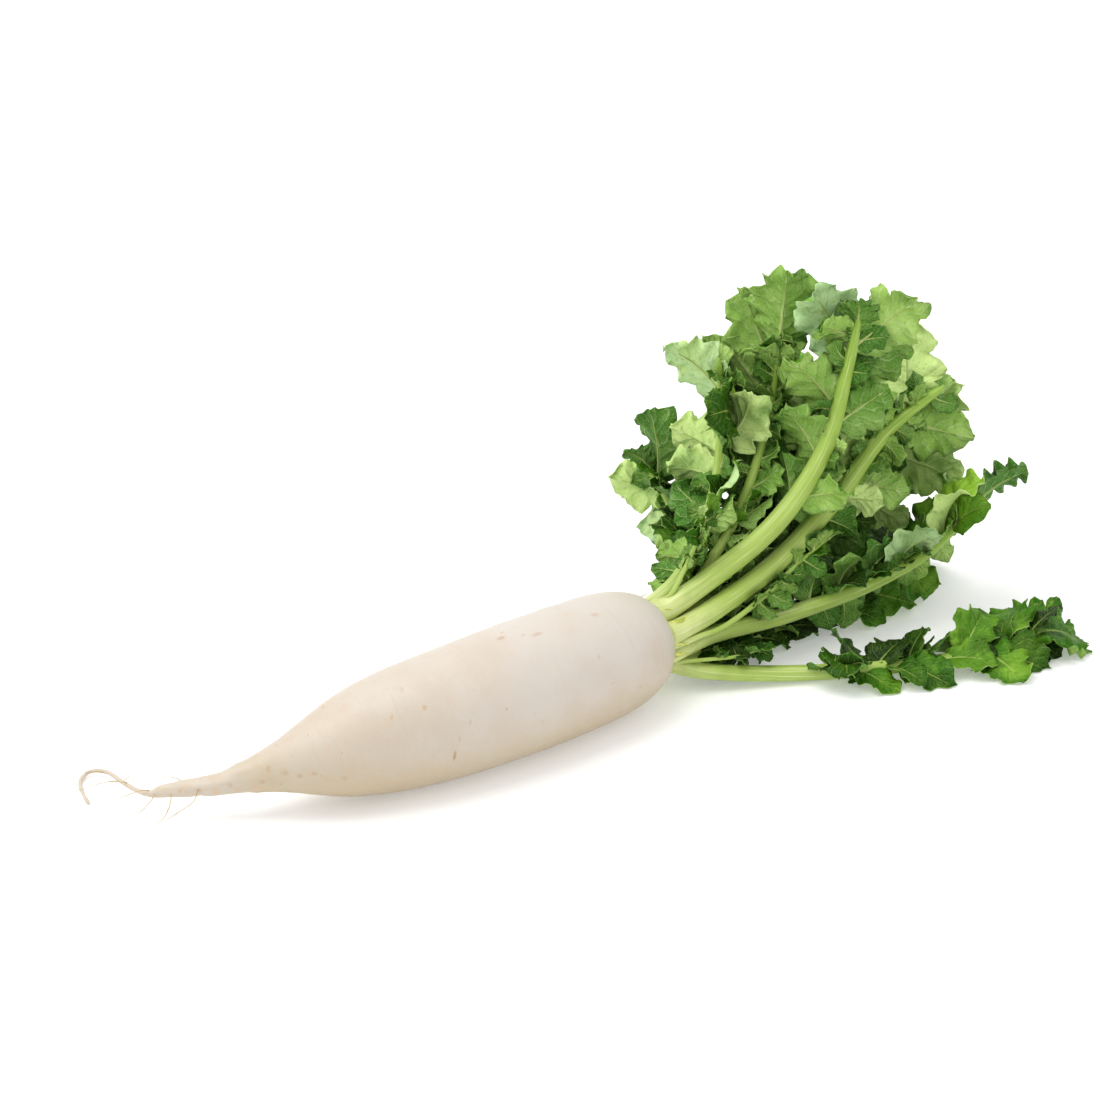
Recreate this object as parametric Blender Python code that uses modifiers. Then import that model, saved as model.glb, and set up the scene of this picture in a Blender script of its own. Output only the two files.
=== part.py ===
"""A white radish with its leaves, lying on its side on a table.

The long root lies along X with its tail at -X and its crown at +X. The origin is in the middle
of the small flat spot that the root rests on. Lengths named here are in millimetres.
"""

import math
import random
from dataclasses import dataclass

import bmesh
import bpy
from mathutils import Matrix, Vector
from mathutils.bvhtree import BVHTree

MM = 0.001

# Root: x, y, height of the middle, and radius, from the loose tail thread to the shoulder
ROOT_LINE = (
    (-232.0, 86.0, 1.0, 0.7),
    (-230.0, 96.0, 1.1, 0.8),
    (-225.0, 110.0, 1.6, 0.9),
    (-216.0, 116.0, 2.4, 0.9),
    (-209.5, 108.0, 3.6, 0.9),
    (-210.5, 88.0, 6.8, 1.0),
    (-211.5, 68.0, 10.4, 1.1),
    (-209.5, 57.5, 12.4, 1.5),
    (-205.0, 54.0, 13.6, 3.0),
    (-196.0, 46.5, 16.0, 4.4),
    (-183.0, 34.0, 19.5, 5.6),
    (-166.0, 24.5, 23.5, 9.2),
    (-151.0, 18.0, 26.6, 14.0),
    (-138.0, 13.0, 29.0, 19.6),
    (-121.0, 9.0, 31.0, 26.2),
    (-101.0, 6.8, 32.6, 31.2),
    (-76.0, 3.6, 34.3, 34.6),
    (-48.0, 1.0, 35.6, 36.6),
    (-20.0, 0.0, 36.6, 37.6),
    (9.0, 0.6, 37.0, 38.0),
    (41.0, 2.8, 36.6, 37.6),
    (62.0, 5.2, 36.0, 36.5),
    (76.5, 7.2, 35.4, 34.2),
    (87.0, 8.8, 34.9, 30.8),
    (94.0, 9.9, 34.5, 26.4),
    (98.5, 10.6, 34.2, 21.4),
)
ROOT_BEVEL_RESOLUTION = 6
ROOT_RINGS = 42

# Crown: the knob in the middle of the shoulder, which the inner stems stand on
KNOB_RADIUS = 9.3
KNOB_LENGTH = 7.0
KNOB_TAPER = 0.8
KNOB_STEP = 0.1

# Stems stand in two whorls, with a small gap to the crown
GAP = 0.4
WHORL_RADIUS = {"outer": 16.3, "inner": 5.0}
WHORL_HEIGHT = {"outer": 0.0, "inner": KNOB_LENGTH}
STRAIGHT_FOOT = 8.0
STEM_RINGS = 13
STEM_BEVEL_RESOLUTION = 2
STEM_TIP_SHARE = 0.33
STEM_TAPER = 3.0
PATH_STEPS = 60

# Leaflets
BLADE_THICKNESS = 0.7
FLOOR_CLEARANCE = 0.5
FLOOR_SOFTNESS = 1.6
DEEPEST_BELOW_FLOOR = -7.0
STALK_HALF_WIDTH = 1.2
TOOTH_DEPTH = 0.17
NEIGHBOUR_DISTANCE = 1.9
TRIES = 26
SHRINK_AFTER = 14
SHRINK_STEP = 0.045
LAST_PLACE = 0.93
END_PLACE = 0.955


@dataclass(frozen=True)
class Leaf:
    """One lobed leaf: how its stem runs, and how its leaflets are sized and placed.

    The stem stands at an angle round the crown, from the far side over the top, and passes
    through the route's points. The blade turns about the stem by so many degrees at its end.
    Its leaflets lean by so many radians more than usual toward the leaf's upper face.
    """

    name: str
    whorl: str
    slot: float
    route: tuple
    foot_radius: float
    turn: float
    bare_share: float
    pairs: int
    leaflet_length: float
    end_length: float
    lean: float
    seed: int


LEAVES = (
    Leaf("leaf_floor_near", "outer", 244, ((130, -12, 12), (184, -39, 5.8), (240, -68, 5.6),
         (292, -86, 7), (322, -94, 13)), 5.2, 50, 0.36, 5, 42, 52, 0.0, 36),
    Leaf("leaf_low_near", "outer", 202, ((140, -1, 29), (196, -5, 28), (248, -12, 33),
         (294, -20, 46), (334, -26, 72)), 5.4, 20, 0.42, 6, 48, 50, 0.6, 17),
    Leaf("leaf_thick_near", "outer", 155, ((142, 0, 45), (196, 5, 60), (244, 8, 88),
         (284, 8, 122), (330, 6, 142)), 6.5, 0, 0.48, 7, 54, 56, 0.4, 10),
    Leaf("leaf_tall", "outer", 104, ((140, 8, 60), (192, 6, 84), (228, 4, 124),
         (244, 4, 170), (252, 4, 206)), 6.5, 40, 0.45, 7, 56, 38, 0.5, 2),
    Leaf("leaf_upright_far", "outer", 52, ((138, 25, 61), (178, 46, 88), (198, 62, 130),
         (198, 68, 172)), 4.8, 0, 0.34, 6, 54, 52, 0.0, 29),
    Leaf("leaf_far", "outer", 4, ((140, 34, 44), (176, 70, 54), (192, 104, 66),
         (192, 130, 86)), 4.5, 0, 0.30, 6, 52, 46, 0.0, 59),
    Leaf("leaf_floor_far", "outer", 321, ((140, 32, 20), (198, 66, 9), (256, 92, 10),
         (306, 104, 22)), 4.5, 0, 0.32, 6, 50, 54, 0.0, 54),
    Leaf("leaf_floor_middle", "outer", 283, ((136, 12, 12), (196, 16, 6), (254, 20, 8),
         (330, 32, 22)), 4.4, 0, 0.34, 6, 48, 50, 0.0, 45),
    Leaf("leaf_inner_near", "inner", 170, ((142, 13, 42), (204, 20, 50), (256, 28, 62),
         (300, 32, 80), (330, 34, 106)), 3.4, 0, 0.40, 7, 50, 54, 0.0, 59),
    Leaf("leaf_crest", "inner", 80, ((140, 18, 52), (190, 33, 90), (219, 44, 138),
         (230, 48, 190)), 3.4, 40, 0.34, 6, 54, 50, 0.0, 32),
    Leaf("leaf_inner_far", "inner", 350, ((140, 24, 42), (198, 46, 58), (244, 64, 88),
         (272, 78, 124)), 3.4, 0, 0.34, 6, 52, 54, 0.0, 21),
)


def clear_scene():
    """Empties the scene."""
    for obj in list(bpy.data.objects):
        bpy.data.objects.remove(obj, do_unlink=True)


def make_material(name, colour, roughness):
    """A plain Principled material."""
    material = bpy.data.materials.new(name)
    material.use_nodes = True
    shader = material.node_tree.nodes["Principled BSDF"]
    shader.inputs["Base Color"].default_value = (*colour, 1.0)
    shader.inputs["Roughness"].default_value = roughness
    shader.inputs["Metallic"].default_value = 0.0
    return material


def smooth_row(rows, place):
    """The row at a place along the rows, 0 at the first and 1 at the last, on a smooth curve."""
    spans = len(rows) - 1
    span = min(int(place * spans), spans - 1)
    t = place * spans - span
    mixed = []
    for a, b, c, d in zip(
        rows[max(span - 1, 0)], rows[span], rows[span + 1], rows[min(span + 2, spans)]
    ):
        bend = 2 * a - 5 * b + 4 * c - d + t * (3 * (b - c) + d - a)
        mixed.append(b + 0.5 * t * (c - a + t * bend))
    return mixed


def even_path(rows, count):
    """Points at even distances along the smooth curve through the rows."""
    fine = [Vector(smooth_row(rows, i / 400)) for i in range(401)]
    lengths = [0.0]
    for a, b in zip(fine, fine[1:]):
        lengths.append(lengths[-1] + (b - a).length)
    path = []
    k = 0
    for i in range(count):
        wanted = lengths[-1] * i / (count - 1)
        while k < 399 and lengths[k + 1] < wanted:
            k += 1
        share = (wanted - lengths[k]) / (lengths[k + 1] - lengths[k])
        path.append(fine[k].lerp(fine[k + 1], share))
    return path


def tube(name, points, radii, resolution, collection):
    """A closed tube through the points, made a mesh, with a radius for each point."""
    data = bpy.data.curves.new(name, "CURVE")
    data.dimensions = "3D"
    data.bevel_depth = MM
    data.bevel_resolution = resolution
    data.use_fill_caps = True
    spline = data.splines.new("POLY")
    spline.points.add(len(points) - 1)
    for point, place, radius in zip(spline.points, points, radii):
        point.co = (*(Vector(place) * MM), 1.0)
        point.radius = radius
    curve = bpy.data.objects.new(name + "_curve", data)
    collection.objects.link(curve)
    bpy.context.view_layer.update()
    evaluated = curve.evaluated_get(bpy.context.evaluated_depsgraph_get())
    mesh = bpy.data.meshes.new_from_object(evaluated)
    mesh.name = name
    made = bpy.data.objects.new(name, mesh)
    made.matrix_world = curve.matrix_world
    collection.objects.link(made)
    bpy.data.objects.remove(curve, do_unlink=True)
    bm = bmesh.new()
    bm.from_mesh(mesh)
    bmesh.ops.remove_doubles(bm, verts=bm.verts, dist=1e-6)
    bmesh.ops.recalc_face_normals(bm, faces=bm.faces)
    bm.to_mesh(mesh)
    bm.free()
    return made


def body_rows():
    """Places and radii from the tail's end to the shoulder's face."""
    return [smooth_row(ROOT_LINE, i / ROOT_RINGS) for i in range(ROOT_RINGS + 1)]


def crown_frame():
    """The middle of the shoulder's face and the directions out of it, across it and up it."""
    before, middle = (Vector(row[:3]) for row in body_rows()[-2:])
    out = (middle - before).normalized()
    across = Vector((0, 0, 1)).cross(out).normalized()
    return middle, out, across, out.cross(across)


def root_rows():
    """Places and radii from the tail's end to the top of the crown's knob."""
    middle, out, _, _ = crown_frame()
    return [
        *body_rows(),
        [*(middle + out * KNOB_STEP), KNOB_RADIUS],
        [*(middle + out * KNOB_LENGTH), KNOB_RADIUS - KNOB_TAPER],
    ]


def make_root(collection):
    """The root with its tail, its shoulder, the crown's knob and the flat spot that it rests on."""
    rows = root_rows()
    points = [row[:3] for row in rows]
    radii = [row[3] for row in rows]
    root = tube("root", points, radii, ROOT_BEVEL_RESOLUTION, collection)
    bm = bmesh.new()
    bm.from_mesh(root.data)
    cut = bmesh.ops.bisect_plane(
        bm,
        geom=[*bm.verts, *bm.edges, *bm.faces],
        plane_co=(0, 0, 0),
        plane_no=(0, 0, -1),
        clear_outer=True,
    )
    rim = [item for item in cut["geom_cut"] if isinstance(item, bmesh.types.BMEdge)]
    bmesh.ops.contextual_create(bm, geom=rim)
    bmesh.ops.recalc_face_normals(bm, faces=bm.faces)
    bm.to_mesh(root.data)
    bm.free()
    return root


def stem_path(leaf, count):
    """Points along a leaf's stem, and the way that its foot faces outward.

    The stem leaves the crown's face squarely, so that its foot lies flat against it.
    """
    middle, out, across, up = crown_frame()
    angle = math.radians(leaf.slot)
    outward = across * math.cos(angle) + up * math.sin(angle)
    foot = middle + outward * WHORL_RADIUS[leaf.whorl] + out * (WHORL_HEIGHT[leaf.whorl] + GAP)
    ankle = foot + out * STRAIGHT_FOOT
    return [foot, *even_path([ankle, *(Vector(point) for point in leaf.route)], count - 1)], outward


def stem_radius(leaf, place):
    """The stem's radius at a place along it, from 0 at the crown to 1 at the leaf's end."""
    return leaf.foot_radius * (1 - (1 - STEM_TIP_SHARE) * place**STEM_TAPER)


def frames_along(path, outward, turn):
    """For each point of the path: its place, the way along, the side and the leaf's upper face."""
    frames = []
    upper = -outward
    last = len(path) - 1
    for i, point in enumerate(path):
        along = (path[min(i + 1, last)] - path[max(i - 1, 0)]).normalized()
        upper = (upper - along * upper.dot(along)).normalized()
        face = Matrix.Rotation(math.radians(turn) * i / last, 3, along) @ upper
        frames.append((point, along, face.cross(along), face))
    return frames


def frame_at(frames, place):
    """The frame at a place along the path, from 0 to 1."""
    step = place * (len(frames) - 1)
    i = min(int(step), len(frames) - 2)
    first, second = frames[i], frames[i + 1]
    share = step - i
    point = first[0].lerp(second[0], share)
    return (point, *(a.lerp(b, share).normalized() for a, b in zip(first[1:], second[1:])))


@dataclass(frozen=True)
class Leaflet:
    """One leaflet's size and how it curls, with angles in radians."""

    length: float
    width: float
    teeth: int
    droop: float
    trough: float
    ruffle: float
    waves: float
    phase: float
    twist: float


def blade_point(leaflet, u, v):
    """A point of the leaflet's middle surface: u runs from stalk to tip and v across it."""
    outline = math.sin(math.pi * min(u, 0.98) ** 0.85) ** 0.66
    notch = abs((u * leaflet.teeth) % 1.0 - 0.5) * 4.0 - 1.0
    half = STALK_HALF_WIDTH * (1 - u) + 0.5 * leaflet.width * outline * (1 - TOOTH_DEPTH * notch)
    across = half * v
    wave = math.sin(leaflet.waves * u * math.tau + leaflet.phase + 1.3 * v)
    lift = leaflet.trough * abs(across) + leaflet.ruffle * leaflet.width * v * v * wave * min(1, 3 * u)
    turn = leaflet.twist * u
    side = across * math.cos(turn) - lift * math.sin(turn)
    lift = across * math.sin(turn) + lift * math.cos(turn)
    bend = leaflet.droop * u
    radius = leaflet.length / leaflet.droop
    return Vector(
        (
            math.sin(bend) * (radius + lift),
            side,
            math.cos(bend) * (radius + lift) - radius,
        )
    )


def off_floor(z):
    """A height kept just above the table: what would sink into it comes to lie on it."""
    above = z - FLOOR_CLEARANCE
    return FLOOR_CLEARANCE + 0.5 * (above + math.hypot(above, FLOOR_SOFTNESS))


def leaflet_sheet(leaflet, placing):
    """The leaflet's middle surface as a placed mesh, and its lowest height before the floor."""
    sheet = bmesh.new()
    bmesh.ops.create_grid(sheet, x_segments=2 * leaflet.teeth, y_segments=2, size=0.5)
    lowest = 0.0
    for vertex in sheet.verts:
        point = placing @ blade_point(leaflet, vertex.co.x + 0.5, vertex.co.y * 2)
        lowest = min(lowest, point.z)
        point.z = off_floor(point.z)
        vertex.co = point
    bmesh.ops.triangulate(sheet, faces=sheet.faces)
    return sheet, lowest


def placing_matrix(frame, side, spread, lift, roll):
    """Where a leaflet starts and how it lies: spread from the stem, lifted and rolled."""
    point, along, across, upper = frame
    sideways = across * (side * math.cos(lift)) + upper * math.sin(lift)
    forward = (along * math.cos(spread) + sideways * math.sin(spread)).normalized()
    face = (upper - forward * upper.dot(forward)).normalized()
    face = Matrix.Rotation(roll, 3, forward) @ face
    width = face.cross(forward)
    return Matrix.Translation(point) @ Matrix((forward, width, face)).transposed().to_4x4()


def clears(sheet, neighbours, siblings):
    """Whether a sheet crosses none of its leaf's others and keeps its distance from neighbours."""
    tree = BVHTree.FromBMesh(sheet)
    if any(tree.overlap(sibling) for sibling in siblings):
        return False
    probes = [vertex.co for vertex in sheet.verts]
    probes += [(edge.verts[0].co + edge.verts[1].co) / 2 for edge in sheet.edges]
    probes += [face.calc_center_median() for face in sheet.faces]
    for neighbour in neighbours:
        if tree.overlap(neighbour):
            return False
        if any(neighbour.find_nearest(probe, NEIGHBOUR_DISTANCE)[0] for probe in probes):
            return False
    return True


def stem_tree(frames, radii):
    """A stem's skin for measuring distances to it."""
    points = []
    faces = []
    for ring, ((point, _, side, upper), radius) in enumerate(zip(frames, radii)):
        for k in range(6):
            angle = math.tau * k / 6
            points.append(point + (side * math.cos(angle) + upper * math.sin(angle)) * radius)
            if ring:
                here = ring * 6 + k
                ahead = ring * 6 + (k + 1) % 6
                faces.append((here - 6, ahead - 6, ahead, here))
    return BVHTree.FromPolygons(points, faces)


def leaflet_choice(draw, length, share, end, lean):
    """One way that a leaflet may be shaped and set."""
    size = length * share
    shape = Leaflet(
        length=size,
        width=size * (draw.uniform(0.74, 0.9) if end else draw.uniform(0.60, 0.76)),
        teeth=4 if end else (2 if length < 38 else 3),
        droop=draw.uniform(0.5, 1.6),
        trough=draw.uniform(0.06, 0.46),
        ruffle=draw.uniform(0.05, 0.13),
        waves=draw.uniform(0.8, 1.5),
        phase=draw.uniform(0, math.tau),
        twist=draw.uniform(-0.6, 0.6),
    )
    spread = draw.uniform(0.0, 0.35) if end else draw.uniform(0.8, 1.25)
    return shape, spread, lean + draw.uniform(-0.1, 0.85), draw.uniform(-0.6, 0.6)


def grow_leaflets(leaf, frames, neighbours):
    """The sheets of a leaf's leaflets, each set the first way that clears its neighbours."""
    draw = random.Random(leaf.seed)
    spots = []
    for k in range(leaf.pairs):
        for side in (-1, 1):
            place = leaf.bare_share + (LAST_PLACE - leaf.bare_share) * (k + 0.5 + 0.2 * side) / leaf.pairs
            length = leaf.leaflet_length * (0.5 + 0.5 * (k + 1) / leaf.pairs) * draw.uniform(0.88, 1.12)
            spots.append((place, side, length, False))
    spots.append((END_PLACE, 1, leaf.end_length, True))
    sheets = []
    siblings = []
    for place, side, length, end in spots:
        frame = frame_at(frames, place)
        for attempt in range(TRIES):
            share = 1.0 - SHRINK_STEP * max(0, attempt - SHRINK_AFTER)
            shape, spread, lift, roll = leaflet_choice(draw, length, share, end, leaf.lean)
            sheet, lowest = leaflet_sheet(shape, placing_matrix(frame, side, spread, lift, roll))
            if lowest > DEEPEST_BELOW_FLOOR and clears(sheet, neighbours, siblings):
                sheets.append(sheet)
                siblings.append(BVHTree.FromBMesh(sheet))
                break
            sheet.free()
    return sheets


def thicken(name, sheet, collection):
    """A leaflet's sheet as a thin closed blade."""
    bmesh.ops.scale(sheet, vec=(MM, MM, MM), verts=sheet.verts)
    mesh = bpy.data.meshes.new(name)
    sheet.to_mesh(mesh)
    sheet.free()
    blade = bpy.data.objects.new(name, mesh)
    collection.objects.link(blade)
    wall = blade.modifiers.new("thickness", "SOLIDIFY")
    wall.thickness = BLADE_THICKNESS * MM
    wall.offset = 0.0
    return blade


def apply_modifiers(obj):
    """Bakes an object's modifiers into its mesh."""
    bpy.context.view_layer.update()
    evaluated = obj.evaluated_get(bpy.context.evaluated_depsgraph_get())
    mesh = bpy.data.meshes.new_from_object(evaluated)
    obj.modifiers.clear()
    obj.data = mesh


def keep_one_body(mesh):
    """Drops loose scraps and fills sealed hollows: only the skin with the most faces stays.

    Skins that merely touch, at a point or along an edge that they share, are separate ones.
    """
    bm = bmesh.new()
    bm.from_mesh(mesh)
    skins = []
    unseen = set(bm.faces)
    while unseen:
        skin = [unseen.pop()]
        for face in skin:
            for edge in face.edges:
                if len(edge.link_faces) != 2:
                    continue
                for other in edge.link_faces:
                    if other in unseen:
                        unseen.remove(other)
                        skin.append(other)
        skins.append(skin)
    skins.sort(key=len)
    for skin in skins[:-1]:
        bmesh.ops.delete(bm, geom=skin, context="FACES")
    bm.to_mesh(mesh)
    bm.free()


def fuse_leaf(leaf, sheets, collection):
    """A leaf as one solid: its stem with every leaflet fused to it."""
    path, _ = stem_path(leaf, STEM_RINGS)
    radii = [stem_radius(leaf, i / (STEM_RINGS - 1)) for i in range(STEM_RINGS)]
    stem = tube(leaf.name, path, radii, STEM_BEVEL_RESOLUTION, collection)
    blades = bpy.data.collections.new(leaf.name + "_leaflets")
    bpy.context.scene.collection.children.link(blades)
    for k, sheet in enumerate(sheets):
        thicken(f"{leaf.name}_blade_{k}", sheet, blades)
    join = stem.modifiers.new("join_leaflets", "BOOLEAN")
    join.operation = "UNION"
    join.operand_type = "COLLECTION"
    join.collection = blades
    join.solver = "EXACT"
    apply_modifiers(stem)
    keep_one_body(stem.data)
    for blade in list(blades.objects):
        bpy.data.objects.remove(blade, do_unlink=True)
    bpy.data.collections.remove(blades)
    return stem


def make_leaves(collection):
    """Every leaf, grown one after another so that none touches another or the root."""
    frames = {}
    stems = {}
    for leaf in LEAVES:
        path, outward = stem_path(leaf, PATH_STEPS)
        radii = [stem_radius(leaf, i / (PATH_STEPS - 1)) for i in range(PATH_STEPS)]
        frames[leaf.name] = frames_along(path, outward, leaf.turn)
        stems[leaf.name] = stem_tree(frames[leaf.name], radii)
    rows = root_rows()
    skin = frames_along([Vector(row[:3]) for row in rows], Vector((0, 0, 1)), 0)
    grown = [stem_tree(skin, [row[3] for row in rows])]
    made = []
    for leaf in LEAVES:
        others = [tree for name, tree in stems.items() if name != leaf.name]
        sheets = grow_leaflets(leaf, frames[leaf.name], grown + others)
        grown += [BVHTree.FromBMesh(sheet) for sheet in sheets]
        made.append(fuse_leaf(leaf, sheets, collection))
    return made


def main():
    """Builds the radish."""
    clear_scene()
    radish = bpy.data.collections.new("radish")
    bpy.context.scene.collection.children.link(radish)
    root = make_root(radish)
    root.data.materials.append(make_material("root_skin", (0.86, 0.80, 0.68), 0.42))
    for leaf in make_leaves(radish):
        leaf.data.materials.clear()
        leaf.data.materials.append(make_material(leaf.name + "_green", (0.20, 0.42, 0.10), 0.5))


main()
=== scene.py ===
"""A long white radish with its leaves, lying on a studio table, dressed over its solid model.

The root lies along X with its tail at -X and its crown at +X, and it rests on Z = 0. Shapes are
worked out in millimetres, and their meshes come into the scene in metres.
"""

import logging
import math
import random
from dataclasses import dataclass
from enum import Enum
from typing import Callable, Iterable, Iterator, Optional, Sequence

import bmesh
import bpy
from mathutils import Matrix, Vector, noise
from mathutils.bvhtree import BVHTree


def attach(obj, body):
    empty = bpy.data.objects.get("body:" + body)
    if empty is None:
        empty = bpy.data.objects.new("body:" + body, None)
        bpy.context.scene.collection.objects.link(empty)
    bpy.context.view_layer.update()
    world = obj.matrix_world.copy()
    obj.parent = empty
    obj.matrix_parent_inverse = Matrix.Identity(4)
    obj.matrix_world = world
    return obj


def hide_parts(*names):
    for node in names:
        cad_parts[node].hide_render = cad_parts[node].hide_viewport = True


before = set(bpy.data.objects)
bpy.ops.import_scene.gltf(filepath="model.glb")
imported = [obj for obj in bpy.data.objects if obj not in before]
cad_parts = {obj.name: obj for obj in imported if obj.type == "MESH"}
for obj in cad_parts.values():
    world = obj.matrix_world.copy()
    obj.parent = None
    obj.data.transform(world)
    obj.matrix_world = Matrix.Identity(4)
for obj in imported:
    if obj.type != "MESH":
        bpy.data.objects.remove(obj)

MM = 0.001
UP = Vector((0.0, 0.0, 1.0))

log = logging.getLogger("radish")

Row = Sequence[float]
Radius = Callable[[float, float], float]
Socket = bpy.types.NodeSocket


# Materials


def tone(code: str) -> tuple[float, float, float, float]:
    """Turns a colour as it is seen on a screen into the values that a shader takes.

    Args:
        code: Six hexadecimal digits for red, green and blue.

    Returns:
        Linear red, green, blue and an alpha of 1.
    """
    shares = [int(code[k : k + 2], 16) / 255 for k in (0, 2, 4)]
    red, green, blue = (
        share / 12.92 if share <= 0.04045 else ((share + 0.055) / 1.055) ** 2.4 for share in shares
    )
    return red, green, blue, 1.0


class Paint:
    """A material that is painted one node at a time."""

    def __init__(self, name: str) -> None:
        """Starts a material with its own Principled shader.

        Args:
            name: What the material is called.
        """
        self.material = bpy.data.materials.new(name)
        self.material.use_nodes = True
        self.nodes = self.material.node_tree.nodes
        self.links = self.material.node_tree.links
        self.shader = self.nodes["Principled BSDF"]

    def add(self, kind: str, inputs: Optional[dict] = None, **settings: object) -> bpy.types.Node:
        """Adds a node.

        Args:
            kind: The node's type.
            inputs: What goes into its sockets, each a socket to link or a plain value.
            settings: The node's own properties.

        Returns:
            The new node.
        """
        node = self.nodes.new(kind)
        for key, value in settings.items():
            setattr(node, key, value)
        for key, value in (inputs or {}).items():
            self.put(value, node.inputs[key])
        return node

    def put(self, value: object, target: Socket) -> None:
        """Fills one socket.

        Args:
            value: A socket to link or a plain value.
            target: The socket that it goes into.
        """
        if isinstance(value, Socket):
            self.links.new(value, target)
        else:
            target.default_value = value

    def place(self) -> Socket:
        """The point on the object, in metres."""
        return self.add("ShaderNodeTexCoord").outputs["Object"]

    def unwrapped(self, name: str) -> Socket:
        """The point on the piece's own flat map."""
        return self.add("ShaderNodeUVMap", uv_map=name).outputs["UV"]

    def painted(self, name: str) -> Socket:
        """A number that the mesh carries at each of its points."""
        return self.add("ShaderNodeAttribute", attribute_name=name).outputs["Fac"]

    def scaled(self, vector: Socket, scale: Row) -> Socket:
        """A vector with each of its parts multiplied."""
        mapping = self.add("ShaderNodeMapping", {"Vector": vector, "Scale": scale})
        return mapping.outputs["Vector"]

    def spread(self, value: Socket, reach: float) -> Socket:
        """A vector that goes along X and Y by one number, scaled to a reach."""
        scaled = self.times(value, reach)
        return self.add("ShaderNodeCombineXYZ", {"X": scaled, "Y": scaled}).outputs["Vector"]

    def parts(self, vector: Socket) -> tuple[Socket, ...]:
        """A vector's three parts."""
        return tuple(self.add("ShaderNodeSeparateXYZ", {"Vector": vector}).outputs)

    def noise(self, vector: Socket, scale: float, detail: float = 3.0, rough: float = 0.5) -> Socket:
        """Soft irregular spots from 0 to 1, with so many finer layers on them of some strength."""
        inputs = {"Vector": vector, "Scale": scale, "Detail": detail, "Roughness": rough}
        return self.add("ShaderNodeTexNoise", inputs).outputs["Fac"]

    def maths(self, operation: str, first: object, second: object = 0.0) -> Socket:
        """One step of arithmetic on sockets or numbers, by the node's own name for it."""
        return self.add("ShaderNodeMath", {0: first, 1: second}, operation=operation).outputs[0]

    def times(self, first: object, second: object) -> Socket:
        """Two sockets or numbers, multiplied."""
        return self.maths("MULTIPLY", first, second)

    def plus(self, first: object, second: object) -> Socket:
        """Two sockets or numbers, added."""
        return self.maths("ADD", first, second)

    def window(
        self, value: Socket, start: float, end: float, low: float = 0.0, high: float = 1.0
    ) -> Socket:
        """A smooth step from low to high as the value goes from start to end.

        Args:
            value: What is measured.
            start: Where the step begins.
            end: Where it is complete.
            low: The result before it.
            high: The result after it.

        Returns:
            The step's value.
        """
        inputs = {"Value": value, 1: start, 2: end, 3: low, 4: high}
        node = self.add("ShaderNodeMapRange", inputs, interpolation_type="SMOOTHSTEP")
        return node.outputs[0]

    def mix(self, factor: object, first: object, code: str) -> Socket:
        """A colour blended by a factor toward a second one, given in hexadecimal digits."""
        inputs = {0: factor, 6: first, 7: tone(code)}
        return self.add("ShaderNodeMix", inputs, data_type="RGBA").outputs[2]

    def bump(self, *layers: tuple[Socket, float]) -> None:
        """Gives the shader fine relief.

        Args:
            layers: Heights from 0 to 1, each with how many millimetres it stands for.
        """
        normal = None
        for height, depth in layers:
            inputs = {"Height": height, "Distance": depth * MM}
            if normal is not None:
                inputs["Normal"] = normal
            normal = self.add("ShaderNodeBump", inputs).outputs["Normal"]
        self.links.new(normal, self.shader.inputs["Normal"])

    def feed(self, **sockets: object) -> None:
        """Fills the shader's sockets by their names, in which underscores stand for spaces."""
        for key, value in sockets.items():
            self.put(value, self.shader.inputs[key.replace("_", " ")])


@dataclass(frozen=True)
class Mark:
    """A scar on the root: where it is and how long, high and deep it is, in millimetres."""

    place: Row
    reach: Row
    strength: float


MARKS = (
    Mark((-70.0, -31.5, 29.0), (1.2, 3.0, 5.2), 0.62),
    Mark((-67.5, -32.6, 39.0), (0.9, 2.4, 2.6), 0.30),
    Mark((-18.4, -4.0, 73.6), (4.0, 2.6, 3.4), 0.34),
    Mark((-6.0, -8.0, 73.4), (1.8, 1.6, 3.0), 0.22),
    Mark((1.4, -10.9, 72.9), (5.0, 2.0, 3.4), 0.30),
    Mark((44.4, -8.4, 72.0), (4.0, 2.0, 3.4), 0.24),
    Mark((-155.6, 4.7, 30.6), (2.4, 3.0, 2.2), 0.22),
    Mark((-149.7, -1.0, 29.4), (1.8, 3.0, 2.2), 0.26),
    Mark((-143.4, -5.9, 30.6), (2.2, 3.0, 1.6), 0.20),
    Mark((-129.7, -14.1, 27.3), (2.0, 3.0, 2.2), 0.20),
    Mark((-178.7, 23.7, 22.9), (2.0, 3.0, 2.0), 0.24),
    Mark((-165.3, 12.6, 25.1), (2.2, 3.0, 1.8), 0.22),
    Mark((-191.2, 34.6, 18.0), (2.6, 3.0, 1.6), 0.20),
)


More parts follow.
